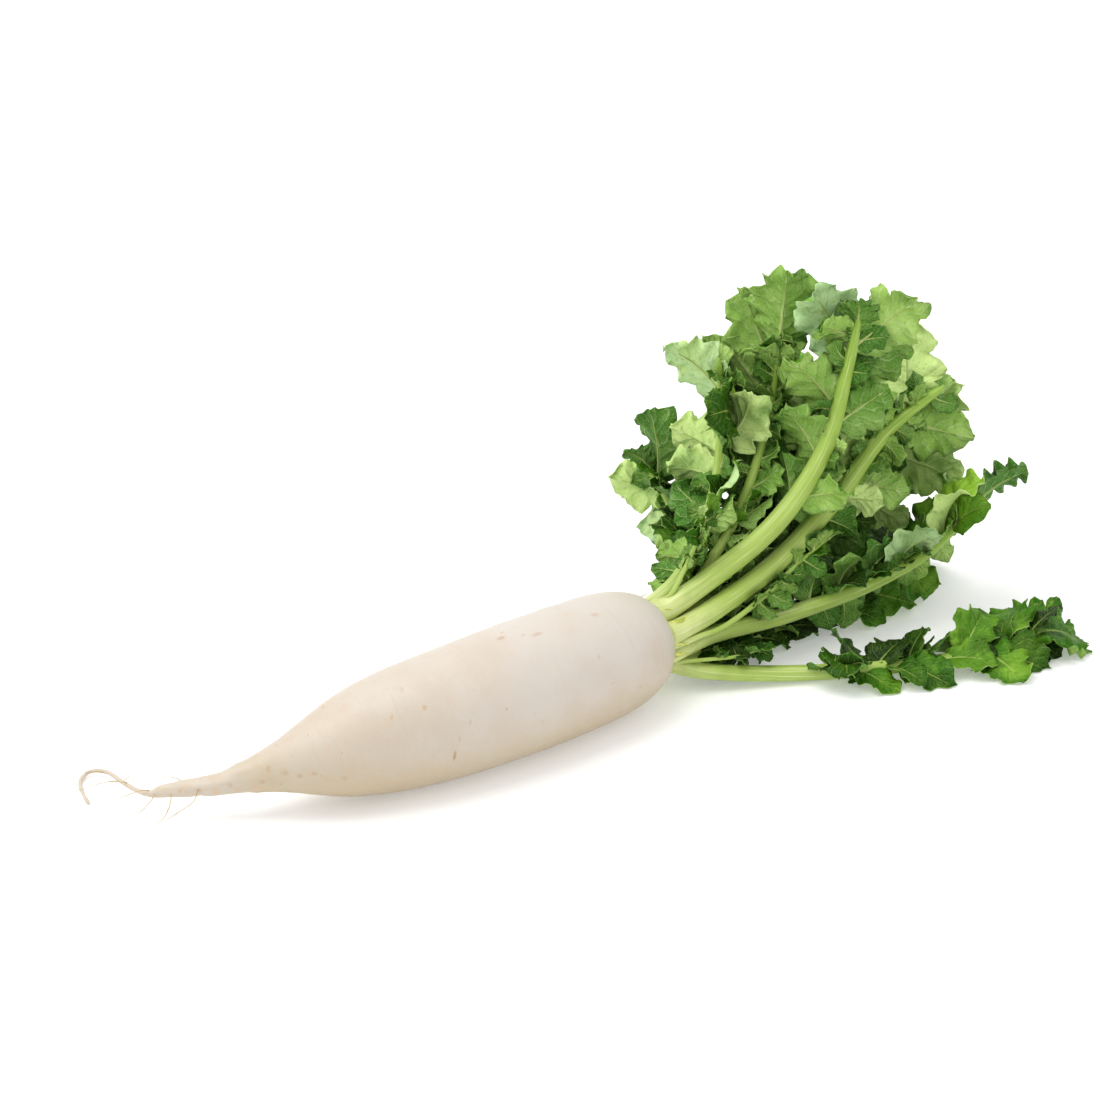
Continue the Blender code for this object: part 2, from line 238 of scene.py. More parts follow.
@dataclass(frozen=True)
class RootSkin:
    """White skin that turns to cream and tan at the tail and to pale green at the crown, and toward tan
    on its low side as painted shade.

    Each pair is where a colour starts and where it is full, in metres along the root or, for the painted
    shade on its low side, over the table.
    """

    marks: tuple[Mark, ...] = MARKS
    flesh: str = "cdc5bc"
    cream: str = "c8bcae"
    tan: str = "b8a989"
    blush: str = "c9ac8e"
    scar: str = "ab7a40"
    speck: str = "c0905a"
    green: str = "bcc66c"
    speck_spacing: float = 8.5
    tail: Row = (0.05, -0.15)
    tail_share: float = 0.34
    thread: Row = (-0.160, -0.185)
    thread_share: float = 0.5
    # Painted shade: the low side turns toward tan between these heights, by this share.
    low: Row = (0.045, 0.012)
    painted_shade_share: float = 0.60
    crown: Row = (0.097, 0.112)
    ring_share: float = 0.22
    # Share of the blush blotches, which are the skin's own tone toward the tail and painted shade on the
    # low side.
    blush_and_shade_share: float = 0.30

    def material(self) -> bpy.types.Material:
        """Paints the skin.

        Returns:
            The material.
        """
        paint = Paint("radish_skin")
        place = paint.place()
        x, _, z = paint.parts(place)
        flat = paint.unwrapped("skin")
        broad = paint.noise(place, 22.0, 3.0)
        fine = paint.noise(place, 160.0, 4.0, 0.6)
        colour = paint.mix(paint.window(broad, 0.35, 0.7), tone(self.flesh), self.cream)
        toward_tail = paint.window(paint.plus(x, paint.times(broad, 0.09)), *self.tail)
        colour = paint.mix(paint.times(toward_tail, self.tail_share), colour, self.tan)
        rings = paint.noise(paint.scaled(flat, (3.5, 46.0, 1.0)), 1.0, 3.0, 0.6)
        lines = paint.window(rings, 0.60, 0.72)
        colour = paint.mix(paint.times(lines, self.ring_share), colour, self.blush)
        # Painted shade: the skin turns toward tan on its low side, near the table.
        painted_shade_low = paint.window(z, *self.low)
        colour = paint.mix(paint.times(painted_shade_low, self.painted_shade_share), colour, self.tan)
        thread = paint.window(x, *self.thread, 0.0, self.thread_share)
        colour = paint.mix(thread, colour, self.flesh)
        # Blush blotches: the skin's own tone toward the tail, and painted shade on the low side.
        patches = paint.window(fine, 0.52, 0.70)
        blush_and_shade = paint.times(patches, paint.plus(painted_shade_low, toward_tail))
        colour = paint.mix(paint.times(blush_and_shade, self.blush_and_shade_share), colour, self.blush)
        specks = self.specks(paint, place, toward_tail)
        colour = paint.mix(specks, colour, self.speck)
        scars = self.scars(paint, place)
        colour = paint.mix(scars, colour, self.scar)
        pits = paint.maths("SUBTRACT", 1.0, paint.maths("MAXIMUM", specks, scars))
        edge = paint.plus(x, paint.times(fine, 0.012))
        colour = paint.mix(paint.window(edge, *self.crown), colour, self.green)
        grain = paint.noise(place, 900.0, 2.0)
        paint.bump((rings, 0.22), (fine, 0.18), (grain, 0.05), (pits, 0.35))
        paint.feed(
            Base_Color=colour,
            Roughness=paint.window(fine, 0.2, 0.8, 0.38, 0.56),
            Subsurface_Weight=0.14,
            Subsurface_Radius=(1.0, 0.75, 0.5),
            Subsurface_Scale=0.004,
            Specular_IOR_Level=0.42,
        )
        return paint.material

    def specks(self, paint: Paint, place: Socket, toward_tail: Socket) -> Socket:
        """Scatters short faint dashes that lie round the root, thicker toward the tail.

        Args:
            paint: The material being painted.
            place: The point on the object.
            toward_tail: How near the tail the point is, from 0 to 1.

        Returns:
            How strong the speck is at the point.
        """
        wander = paint.noise(place, 260.0, 2.0)
        moved = {0: paint.scaled(place, (1.5, 1.0, 1.0)), 1: paint.spread(wander, 0.008)}
        shifted = paint.add("ShaderNodeVectorMath", moved, operation="ADD").outputs["Vector"]
        spacing = {"Vector": shifted, "Scale": 1.0 / (self.speck_spacing * MM)}
        cells = paint.add("ShaderNodeTexVoronoi", spacing)
        chance, size, depth = paint.parts(cells.outputs["Color"])
        rare = paint.maths("GREATER_THAN", chance, paint.window(toward_tail, 0.0, 1.0, 0.86, 0.45))
        reach = paint.plus(paint.times(size, 0.16), 0.08)
        dot = paint.window(paint.maths("DIVIDE", cells.outputs["Distance"], reach), 1.2, 0.3)
        strength = paint.plus(paint.times(depth, 0.35), 0.15)
        return paint.times(paint.times(dot, rare), strength)

    def scars(self, paint: Paint, place: Socket) -> Socket:
        """Draws the larger marks.

        Args:
            paint: The material being painted.
            place: The point on the object.

        Returns:
            How dark the marks are at the point.
        """
        ragged = paint.noise(place, 420.0, 3.0, 0.7)
        darkest = None
        for mark in self.marks:
            offset = [-a / r for a, r in zip(mark.place, mark.reach)]
            scale = [1 / (r * MM) for r in mark.reach]
            inputs = {"Vector": place, "Location": offset, "Scale": scale}
            local = paint.add("ShaderNodeMapping", inputs).outputs["Vector"]
            away = paint.add("ShaderNodeVectorMath", {0: local}, operation="LENGTH").outputs["Value"]
            torn = paint.plus(away, paint.times(ragged, 0.9))
            shade = paint.window(torn, 1.45, 0.75, 0.0, mark.strength)
            darkest = shade if darkest is None else paint.maths("MAXIMUM", darkest, shade)
        return darkest


@dataclass(frozen=True)
class StemSkin:
    """Pale green leaf stem, nearly white at the crown, with fine ribs along it, lighter on their crests
    partly as painted highlight and darker between them partly as painted shade.
    """

    foot: str = "ccd492"
    middle: str = "a8be62"
    tip: str = "94b44a"
    # The painted highlight on the ribs' crests and the painted shade between them, over the stem's own
    # striping; the shade colour also tints the blotches.
    light: str = "e2eab4"
    shade: str = "83a03e"

    def material(self) -> bpy.types.Material:
        """Paints the stem.

        Returns:
            The material.
        """
        paint = Paint("radish_stem")
        flat = paint.unwrapped("skin")
        along = paint.painted("along")
        blotches = paint.noise(paint.place(), 70.0, 3.0)
        colour = paint.mix(paint.window(along, 0.02, 0.22), tone(self.foot), self.middle)
        colour = paint.mix(paint.window(along, 0.35, 1.0), colour, self.tip)
        streaks = paint.noise(paint.scaled(flat, (24.0, 1.6, 1.0)), 1.0, 4.0, 0.6)
        # Raised streaks: the stem's own pale striping and a painted highlight.
        colour = paint.mix(paint.window(streaks, 0.50, 0.72, 0.0, 0.55), colour, self.light)
        # Low streaks between the ribs: the stem's own darker striping and painted shade.
        colour = paint.mix(paint.window(streaks, 0.46, 0.28, 0.0, 0.42), colour, self.shade)
        colour = paint.mix(paint.window(blotches, 0.5, 0.75, 0.0, 0.25), colour, self.shade)
        paint.bump((streaks, 0.35), (blotches, 0.2))
        paint.feed(
            Base_Color=colour,
            Roughness=paint.window(blotches, 0.3, 0.7, 0.36, 0.5),
            Subsurface_Weight=0.12,
            Subsurface_Radius=(0.8, 1.0, 0.3),
            Subsurface_Scale=0.003,
            Specular_IOR_Level=0.45,
        )
        return paint.material


class Face(Enum):
    """The two faces of a leaf's blade."""

    UPPER = "upper"
    UNDER = "under"


@dataclass(frozen=True)
class BladeSkin:
    """One face of the leaf blades, with a pale midrib, side veins and a fine net between them."""

    face: Face
    deep: str
    plain: str
    bright: str
    cool: str
    vein: str
    vein_strength: float
    roughness: float
    veins: float = 6.0
    slant: float = 0.62
    side_share: float = 0.45
    net_share: float = 0.22
    net_scale: float = 420.0

    def material(self) -> bpy.types.Material:
        """Paints the face.

        Returns:
            The material.
        """
        paint = Paint(f"radish_leaf_{self.face.value}")
        place = paint.place()
        along, across, _ = paint.parts(paint.unwrapped("blade"))
        tint = paint.painted("tint")
        off = paint.maths("ABSOLUTE", paint.maths("SUBTRACT", across, 0.5))
        mottle = paint.noise(place, 90.0, 4.0, 0.6)
        grain = paint.noise(place, 420.0, 3.0, 0.6)
        broad = paint.noise(place, 26.0, 2.0)
        colour = paint.mix(paint.window(tint, 0.0, 0.40), tone(self.deep), self.plain)
        colour = paint.mix(paint.window(tint, 0.40, 0.80), colour, self.bright)
        colour = paint.mix(paint.window(tint, 0.90, 0.96), colour, self.cool)
        lively = paint.window(tint, 0.05, 0.5, 0.25, 1.0)
        patches = paint.times(paint.window(broad, 0.50, 0.70, 0.0, 0.55), lively)
        spots = paint.times(paint.window(mottle, 0.48, 0.74, 0.0, 0.45), lively)
        colour = paint.mix(patches, colour, self.bright)
        colour = paint.mix(paint.window(broad, 0.47, 0.32, 0.0, 0.65), colour, self.deep)
        colour = paint.mix(spots, colour, self.bright)
        colour = paint.mix(paint.window(grain, 0.45, 0.25, 0.0, 0.40), colour, self.deep)
        midrib, side_veins, swell = self.ribs(paint, along, off, mottle)
        cells = {"Vector": place, "Scale": self.net_scale}
        net = paint.add("ShaderNodeTexVoronoi", cells, feature="DISTANCE_TO_EDGE").outputs["Distance"]
        threads = paint.window(net, 0.09, 0.01)
        lines = paint.maths("MAXIMUM", midrib, paint.times(side_veins, self.side_share))
        lines = paint.maths("MAXIMUM", lines, paint.times(threads, self.net_share))
        colour = paint.mix(paint.times(lines, self.vein_strength), colour, self.vein)
        sunk = -1.0 if self.face is Face.UPPER else 1.0
        relief = paint.times(lines, sunk)
        paint.bump((relief, 0.4), (swell, 0.35 * -sunk), (mottle, 1.6), (grain, 0.30))
        paint.feed(
            Base_Color=colour,
            Roughness=paint.window(grain, 0.3, 0.7, self.roughness - 0.06, self.roughness + 0.08),
            Subsurface_Weight=0.05,
            Subsurface_Radius=(0.6, 1.0, 0.2),
            Subsurface_Scale=0.001,
            Specular_IOR_Level=0.25,
        )
        return paint.material

    def ribs(self, paint: Paint, along: Socket, off: Socket, mottle: Socket) -> tuple[Socket, ...]:
        """Draws the midrib and the veins that slant forward from it.

        Args:
            paint: The material being painted.
            along: The share of the way from stalk to tip.
            off: The share of the width between the point and the midrib.
            mottle: Soft spots that bend the veins a little.

        Returns:
            The midrib, the side veins and the swelling between them, each from 0 to 1.
        """
        width = paint.window(along, 0.0, 1.0, 0.050, 0.010)
        midrib = paint.window(paint.maths("DIVIDE", off, width), 1.0, 0.35)
        bent = paint.plus(along, paint.times(mottle, 0.14))
        lean = paint.times(off, self.slant)
        turns = paint.times(paint.maths("SUBTRACT", bent, lean), self.veins * math.tau)
        wave = paint.maths("SINE", turns)
        side_veins = paint.window(wave, 0.955, 0.995)
        swell = paint.window(wave, 1.0, -0.6)
        return midrib, side_veins, swell


UPPER_FACE = BladeSkin(
    face=Face.UPPER,
    deep="123402",
    plain="3b740a",
    bright="98c244",
    cool="84b458",
    vein="c4da78",
    vein_strength=0.5,
    roughness=0.42,
)

UNDER_FACE = BladeSkin(
    face=Face.UNDER,
    deep="487c20",
    plain="94ba58",
    bright="cce492",
    cool="b6d69c",
    vein="e4f0bc",
    vein_strength=0.7,
    roughness=0.52,
)


@dataclass(frozen=True)
class FibreSkin:
    """Thin dry parts: the rootlets and the old leaf scales."""

    name: str
    pale: str
    dark: str

    def material(self) -> bpy.types.Material:
        """Paints the fibre.

        Returns:
            The material.
        """
        paint = Paint(self.name)
        place = paint.place()
        spots = paint.noise(place, 180.0, 3.0, 0.6)
        grain = paint.noise(place, 900.0, 2.0)
        colour = paint.mix(paint.window(spots, 0.35, 0.65), tone(self.pale), self.dark)
        paint.bump((grain, 0.1))
        paint.feed(Base_Color=colour, Roughness=paint.window(grain, 0.3, 0.7, 0.5, 0.7))
        return paint.material


ROOTLET_SKIN = FibreSkin(name="radish_rootlets", pale="cdb991", dark="b59a6c")
SCALE_SKIN = FibreSkin(name="radish_scales", pale="d2d67c", dark="adb552")


@dataclass(frozen=True)
class TableTop:
    """A plain matt white light table, whose faint glow softens the shadows on it."""

    white: str = "e6e6e6"
    soft: str = "e2e2e2"
    glow: float = 0.22

    def material(self) -> bpy.types.Material:
        """Paints the table.

        Returns:
            The material.
        """
        paint = Paint("studio_white")
        place = paint.place()
        cloud = paint.noise(place, 1.5, 2.0)
        paint.feed(
            Base_Color=paint.mix(cloud, tone(self.white), self.soft),
            Roughness=paint.window(paint.noise(place, 40.0), 0.0, 1.0, 0.75, 0.9),
            Emission_Color=(1.0, 1.0, 1.0, 1.0),
            Emission_Strength=self.glow,
        )
        return paint.material


# Lines through space


def smooth_row(rows: Sequence[Row], place: float) -> list[float]:
    """Reads a smooth curve through a table's rows.

    Args:
        rows: Rows of numbers that the curve passes through.
        place: Where it is read, 0 at the first row and 1 at the last.

    Returns:
        The row there.
    """
    spans = len(rows) - 1
    span = min(int(place * spans), spans - 1)
    t = place * spans - span
    mixed = []
    for a, b, c, d in zip(
        rows[max(span - 1, 0)], rows[span], rows[span + 1], rows[min(span + 2, spans)]
    ):
        bend = 2 * a - 5 * b + 4 * c - d + t * (3 * (b - c) + d - a)
        mixed.append(b + 0.5 * t * (c - a + t * bend))
    return mixed


def even_path(rows: Sequence[Row], count: int) -> list[Vector]:
    """Walks the smooth curve through some points in equal steps.

    Args:
        rows: The points.
        count: How many points are wanted.

    Returns:
        The points, at equal distances along the curve.
    """
    steps = 400
    fine = [Vector(smooth_row(rows, i / steps)) for i in range(steps + 1)]
    lengths = [0.0]
    for a, b in zip(fine, fine[1:]):
        lengths.append(lengths[-1] + (b - a).length)
    path = []
    k = 0
    for i in range(count):
        wanted = lengths[-1] * i / (count - 1)
        while k < steps - 1 and lengths[k + 1] < wanted:
            k += 1
        share = (wanted - lengths[k]) / (lengths[k + 1] - lengths[k])
        path.append(fine[k].lerp(fine[k + 1], share))
    return path


@dataclass(frozen=True)
class Station:
    """A place on a spine, with the way along it, its side and its upper face."""

    point: Vector
    along: Vector
    side: Vector
    upper: Vector

    def around(self, angle: float, distance: float) -> Vector:
        """The point at a distance from the spine, at an angle from its side over its upper face."""
        return self.point + (self.side * math.cos(angle) + self.upper * math.sin(angle)) * distance


class Spine:
    """A line through space that carries its own directions without twisting."""

    def __init__(self, path: Sequence[Vector], upper: Vector, turn: float = 0.0) -> None:
        """Carries the upper face along the path.

        Args:
            path: The points of the line.
            upper: The way that the upper face looks at the start.
            turn: Degrees that the upper face turns about the line by its end.
        """
        self.stations: list[Station] = []
        self.lengths = [0.0]
        last = len(path) - 1
        for i, point in enumerate(path):
            along = (path[min(i + 1, last)] - path[max(i - 1, 0)]).normalized()
            upper = (upper - along * upper.dot(along)).normalized()
            face = Matrix.Rotation(math.radians(turn) * i / last, 3, along) @ upper
            self.stations.append(Station(point, along, face.cross(along), face))
            if i:
                self.lengths.append(self.lengths[-1] + (point - path[i - 1]).length)

    def step(self, place: float) -> tuple[int, float]:
        """Finds a place among the stations.

        Args:
            place: The place, 0 at the first station and 1 at the last.

        Returns:
            The number of the station before it, and the share of the way to the next one.
        """
        step = place * (len(self.stations) - 1)
        i = min(int(step), len(self.stations) - 2)
        return i, step - i

    def at(self, place: float) -> Station:
        """Sets a station between the others.

        Args:
            place: The place, from 0 to 1.

        Returns:
            The station there.
        """
        i, share = self.step(place)
        first, second = self.stations[i], self.stations[i + 1]
        return Station(
            first.point.lerp(second.point, share),
            first.along.lerp(second.along, share).normalized(),
            first.side.lerp(second.side, share).normalized(),
            first.upper.lerp(second.upper, share).normalized(),
        )

    def read(self, values: Sequence[float], place: float) -> float:
        """The value at a place from 0 to 1, between those that the stations have."""
        i, share = self.step(place)
        return values[i] + (values[i + 1] - values[i]) * share

    def length_at(self, place: float) -> float:
        """How far along the line a place is, in millimetres."""
        return self.read(self.lengths, place)

    def tree(self, radii: Sequence[float]) -> BVHTree:
        """A six-sided skin round the line, for measuring distances to it.

        Args:
            radii: The skin's radius at each of the line's points.

        Returns:
            The skin as a search tree.
        """
        sides = 6
        points = []
        faces = []
        for ring, (station, radius) in enumerate(zip(self.stations, radii)):
            for k in range(sides):
                points.append(station.around(math.tau * k / sides, radius))
                if ring:
                    here = ring * sides + k
                    ahead = ring * sides + (k + 1) % sides
                    faces.append((here - sides, ahead - sides, ahead, here))
        return BVHTree.FromPolygons(points, faces)


def row_spine(rows: Sequence[Row]) -> Spine:
    """The spine through the points that rows of numbers start with."""
    return Spine([Vector(row[:3]) for row in rows], UP)


# Meshes


@dataclass(frozen=True)
class Tube:
    """A closed skin drawn round a spine, with so many sides round it and rings along it."""

    sides: int
    rings: int

    SEAM = 1e-4
    MAP_UNIT = 100.0

    def build(self, spine: Spine, radius: Radius, floor: float = 0.0) -> bmesh.types.BMesh:
        """Rolls a grid into a tube round the spine and closes its ends.

        Args:
            spine: The line that the tube follows.
            radius: Gives the radius at a place along the spine and an angle round it.
            floor: The height that the skin doesn't go below.

        Returns:
            The tube, with the map "skin" and the number "along" on it.
        """
        mesh = bmesh.new()
        bmesh.ops.create_grid(mesh, x_segments=self.sides, y_segments=self.rings, size=0.5)
        flat = mesh.loops.layers.uv.new("skin")
        carried = mesh.verts.layers.float.new("along")
        for face in mesh.faces:
            for loop in face.loops:
                length = spine.length_at(loop.vert.co.y + 0.5)
                loop[flat].uv = (loop.vert.co.x + 0.5, length / self.MAP_UNIT)
        for vertex in mesh.verts:
            place = vertex.co.y + 0.5
            angle = math.tau * vertex.co.x - math.pi
            vertex[carried] = place
            vertex.co = spine.at(place).around(angle, radius(place, angle))
            vertex.co.z = max(vertex.co.z, floor)
        bmesh.ops.remove_doubles(mesh, verts=mesh.verts, dist=self.SEAM)
        bmesh.ops.holes_fill(mesh, edges=[edge for edge in mesh.edges if edge.is_boundary])
        bmesh.ops.recalc_face_normals(mesh, faces=mesh.faces)
        return mesh


def thread_radius(thickness: float, loss: float) -> Radius:
    """The radius along a thread that has lost a share of its thickness by its end."""
    return lambda place, angle: thickness * (1.0 - loss * place)


def join(parts: Iterable[bmesh.types.BMesh], name: str) -> bpy.types.Mesh:
    """Puts meshes worked out in millimetres into one mesh in metres.

    Args:
        parts: The meshes, which are used up.
        name: The new mesh's name.

    Returns:
        The mesh, shaded smooth.
    """
    whole = bmesh.new()
    for part in parts:
        carrier = bpy.data.meshes.new("carrier")
        part.to_mesh(carrier)
        part.free()
        whole.from_mesh(carrier)
        bpy.data.meshes.remove(carrier)
    bmesh.ops.scale(whole, vec=(MM, MM, MM), verts=whole.verts)
    for face in whole.faces:
        face.smooth = True
    mesh = bpy.data.meshes.new(name)
    whole.to_mesh(mesh)
    whole.free()
    return mesh


def show(
    parts: Iterable[bmesh.types.BMesh],
    name: str,
    materials: Sequence[bpy.types.Material],
    nodes: Sequence[str] = (),
) -> bpy.types.Object:
    """Puts meshes into the scene as one piece of the radish.

    Args:
        parts: The meshes, in place and in millimetres, which are used up.
        name: The piece's name.
        materials: Its materials, in the order of its faces' numbers.
        nodes: The solids that it stands for.

    Returns:
        The piece.
    """
    mesh = join(parts, name)
    for material in materials:
        mesh.materials.append(material)
    piece = bpy.data.objects.new(name, mesh)
    bpy.context.scene.collection.objects.link(piece)
    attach(piece, "root")
    if nodes:
        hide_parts(*nodes)
    return piece


# The root


@dataclass(frozen=True)
class Dent:
    """A shallow pit in the root's skin: where it is, how far it reaches, and how deep it is."""

    place: float
    angle: float
    reach: float
    depth: float


@dataclass(frozen=True)
class RootShape:
    """The root, from its tail's thread to the knob in the middle of the crown.

    Each row of the line is a point in the middle of the root, and the radius there.
    """

    line: tuple[Row, ...] = (
        (-232.0, 86.0, 1.0, 0.7),
        (-230.0, 96.0, 1.1, 0.8),
        (-225.0, 110.0, 1.6, 0.9),
        (-216.0, 116.0, 2.4, 0.9),
        (-209.5, 108.0, 3.6, 0.9),
        (-210.5, 88.0, 6.8, 1.0),
        (-211.5, 68.0, 10.4, 1.1),
        (-209.5, 57.5, 12.4, 1.5),
        (-205.0, 54.0, 13.6, 3.0),
        (-196.0, 46.5, 16.0, 4.4),
        (-183.0, 34.0, 19.5, 5.6),
        (-166.0, 24.5, 23.5, 9.2),
        (-151.0, 18.0, 26.6, 14.0),
        (-138.0, 13.0, 29.0, 19.6),
        (-121.0, 9.0, 31.0, 26.2),
        (-101.0, 6.8, 32.6, 31.2),
        (-76.0, 3.6, 34.3, 34.6),
        (-48.0, 1.0, 35.6, 36.6),
        (-20.0, 0.0, 36.6, 37.6),
        (9.0, 0.6, 37.0, 38.0),
        (41.0, 2.8, 36.6, 37.6),
        (62.0, 5.2, 36.0, 36.5),
        (76.5, 7.2, 35.4, 34.2),
        (87.0, 8.8, 34.9, 30.8),
        (94.0, 9.9, 34.5, 26.4),
        (98.5, 10.6, 34.2, 21.4),
    )
    solid_rings: int = 42
    knob_radius: float = 9.3
    knob_length: float = 7.0
    knob_taper: float = 0.8
    knob_step: float = 0.1

    def body_rows(self, rings: int) -> list[list[float]]:
        """Places and radii from the tail's end to the shoulder's face."""
        return [smooth_row(self.line, i / rings) for i in range(rings + 1)]

    def crown(self) -> tuple[Vector, Vector]:
        """The middle of the shoulder's face, and the way out of it."""
        before, middle = (Vector(row[:3]) for row in self.body_rows(self.solid_rings)[-2:])
        return middle, (middle - before).normalized()

    def over_crown(self, angle: float, radius: float, height: float) -> tuple[Vector, Vector, Vector]:
        """Finds a place over the crown.

        Args:
            angle: The angle round the crown's middle, from the far side over the top.
            radius: The distance from the middle.
            height: The height over the shoulder's face.

        Returns:
            The point there, the way outward from the crown's middle, and the way out of the crown.
        """
        middle, out = self.crown()
        across = UP.cross(out).normalized()
        outward = across * math.cos(angle) + out.cross(across) * math.sin(angle)
        return middle + outward * radius + out * height, outward, out

    def solid_rows(self) -> list[list[float]]:
        """Lists what the solid is drawn through.

        Returns:
            Places and radii from the tail's end to the top of the knob.
        """
        middle, out = self.crown()
        return [
            *self.body_rows(self.solid_rings),
            [*(middle + out * self.knob_step), self.knob_radius],
            [*(middle + out * self.knob_length), self.knob_radius - self.knob_taper],
        ]

    def solid_tree(self) -> BVHTree:
        """The solid's skin as a search tree."""
        rows = self.solid_rows()
        return row_spine(rows).tree([row[3] for row in rows])


@dataclass(frozen=True)
class RootPiece:
    """The root's skin, with its faint rings, its dents and the creases round the crown.

    Where the root is thinner than the thin radius it is lumpier, by a share of its own radius. It
    is rounded off over the tip's length. The creases start at the rim's share of the way to the
    crown. The line's length turns shares of that way into millimetres.
    """

    shape: RootShape
    skin: RootSkin
    sides: int = 128
    body_rings: int = 210
    line_length: float = 395.0
    lumps: float = 0.35
    ring_relief: float = 0.16
    ring_radius: float = 6.0
    thin_radius: float = 12.0
    thin_lumps: float = 0.32
    thin_swell: float = 0.35
    thin_swell_share: float = 0.3
    tip_length: float = 2.0
    tip_share: float = 0.8
    rim_start: float = 0.93
    crease_depth: float = 0.5
    creases: int = 11
    crown_relief: float = 0.25
    dent_stretch: float = 1.8
    dents: tuple[Dent, ...] = (
        Dent(0.86, 2.9, 4.0, 0.5),
        Dent(0.74, 2.45, 5.0, 0.6),
        Dent(0.66, 3.45, 4.5, 0.6),
        Dent(0.60, 2.2, 4.0, 0.5),
        Dent(0.52, 3.1, 3.6, 0.6),
        Dent(0.47, 2.6, 3.0, 0.5),
        Dent(0.80, 0.4, 5.0, 0.6),
        Dent(0.63, 0.2, 4.0, 0.6),
        Dent(0.50, 0.7, 3.2, 0.5),
    )

    def rows(self) -> list[list[float]]:
        """Lists what the fine skin is drawn through.

        Returns:
            Places and radii from the tail's end to the middle of the knob.
        """
        middle, out = self.shape.crown()
        rows = self.shape.body_rows(self.body_rings)
        rim = self.shape.line[-1][3]
        knob = self.shape.knob_radius
        top = self.shape.knob_length
        # Heights over the shoulder's face, each with the radius there
        face = [
            (0.5, rim * 0.94), (0.75, rim * 0.86), (0.7, rim * 0.74), (0.45, rim * 0.62),
            (0.3, knob * 1.18), (0.6, knob * 1.04), (1.4, knob), (3.2, knob - 0.3),
            (5.2, knob - 0.6), (top - 0.8, knob - self.shape.knob_taper),
            (top, knob - 1.3), (top + 0.6, knob - 2.6), (top + 1.0, knob - 4.4),
            (top + 1.2, knob - 6.4), (top + 1.25, 0.9),
        ]
        return rows + [[*(middle + out * height), radius] for height, radius in face]

    def build(self) -> bpy.types.Object:
        """Builds and shows the root.

        Returns:
            The piece.
        """
        rows = self.rows()
        spine = row_spine(rows)
        radii = [row[3] for row in rows]
        body_share = self.body_rings / (len(rows) - 1)

        def radius(place: float, angle: float) -> float:
            """The skin's radius, with everything that has grown on it."""
            plain = spine.read(radii, place)
            return plain + self.relief(place / body_share, angle, plain, spine.length_at(place))

        mesh = Tube(self.sides, len(rows) - 1).build(spine, radius)
        return show([mesh], "root_dressed", [self.skin.material()], ["root"])

    def relief(self, place: float, angle: float, plain: float, length: float) -> float:
        """How far the skin stands out from the plain round of the solid.

        Args:
            place: The share of the way from the tail's end to the crown's rim.
            angle: The angle round the root.
            plain: The solid's radius there.
            length: The distance from the tail's end.

        Returns:
            The height over the plain skin, in millimetres.
        """
        if place > 1.0:
            spot = Vector((place * 90, math.cos(angle) * 3, math.sin(angle) * 3))
            return self.crown_relief * noise.noise(spot)
        around = Vector((math.cos(angle), math.sin(angle), 0.0)) * plain
        lump = noise.noise(Vector((around.x * 0.05, around.y * 0.05, length * 0.025)))
        ring = noise.noise(Vector((length * 0.55, around.x * 0.02, around.y * 0.02 + 7.0)))
        knot = noise.noise(Vector((length * 0.12, around.x * 0.2, around.y * 0.2)))
        thin = max(0.0, 1.0 - plain / self.thin_radius)
        height = lump * self.lumps * min(1.0, plain / self.thin_radius)
        height += ring * self.ring_relief * min(1.0, plain / self.ring_radius)
        height += thin * plain * self.thin_lumps * knot
        height += thin * min(self.thin_swell, plain * self.thin_swell_share)
        height -= self.tip_share * plain * max(0.0, 1.0 - length / self.tip_length)
        for dent in self.dents:
            gap = abs((angle - dent.angle + math.pi) % math.tau - math.pi) * plain
            across = gap / (self.dent_stretch * dent.reach)
            along = (place - dent.place) * self.line_length / dent.reach
            height -= dent.depth * math.exp(-(across**2 + along**2))
        rim = max(0.0, (place - self.rim_start) / (1.0 - self.rim_start))
        crease = math.cos(self.creases * angle + 2 * math.sin(angle))
        return height + rim * rim * self.crease_depth * crease


@dataclass(frozen=True)
class Hair:
    """One rootlet: where on the root it starts, where its points lie from there, and how thick it is."""

    place: float
    angle: float
    route: tuple[Row, ...]
    thickness: float


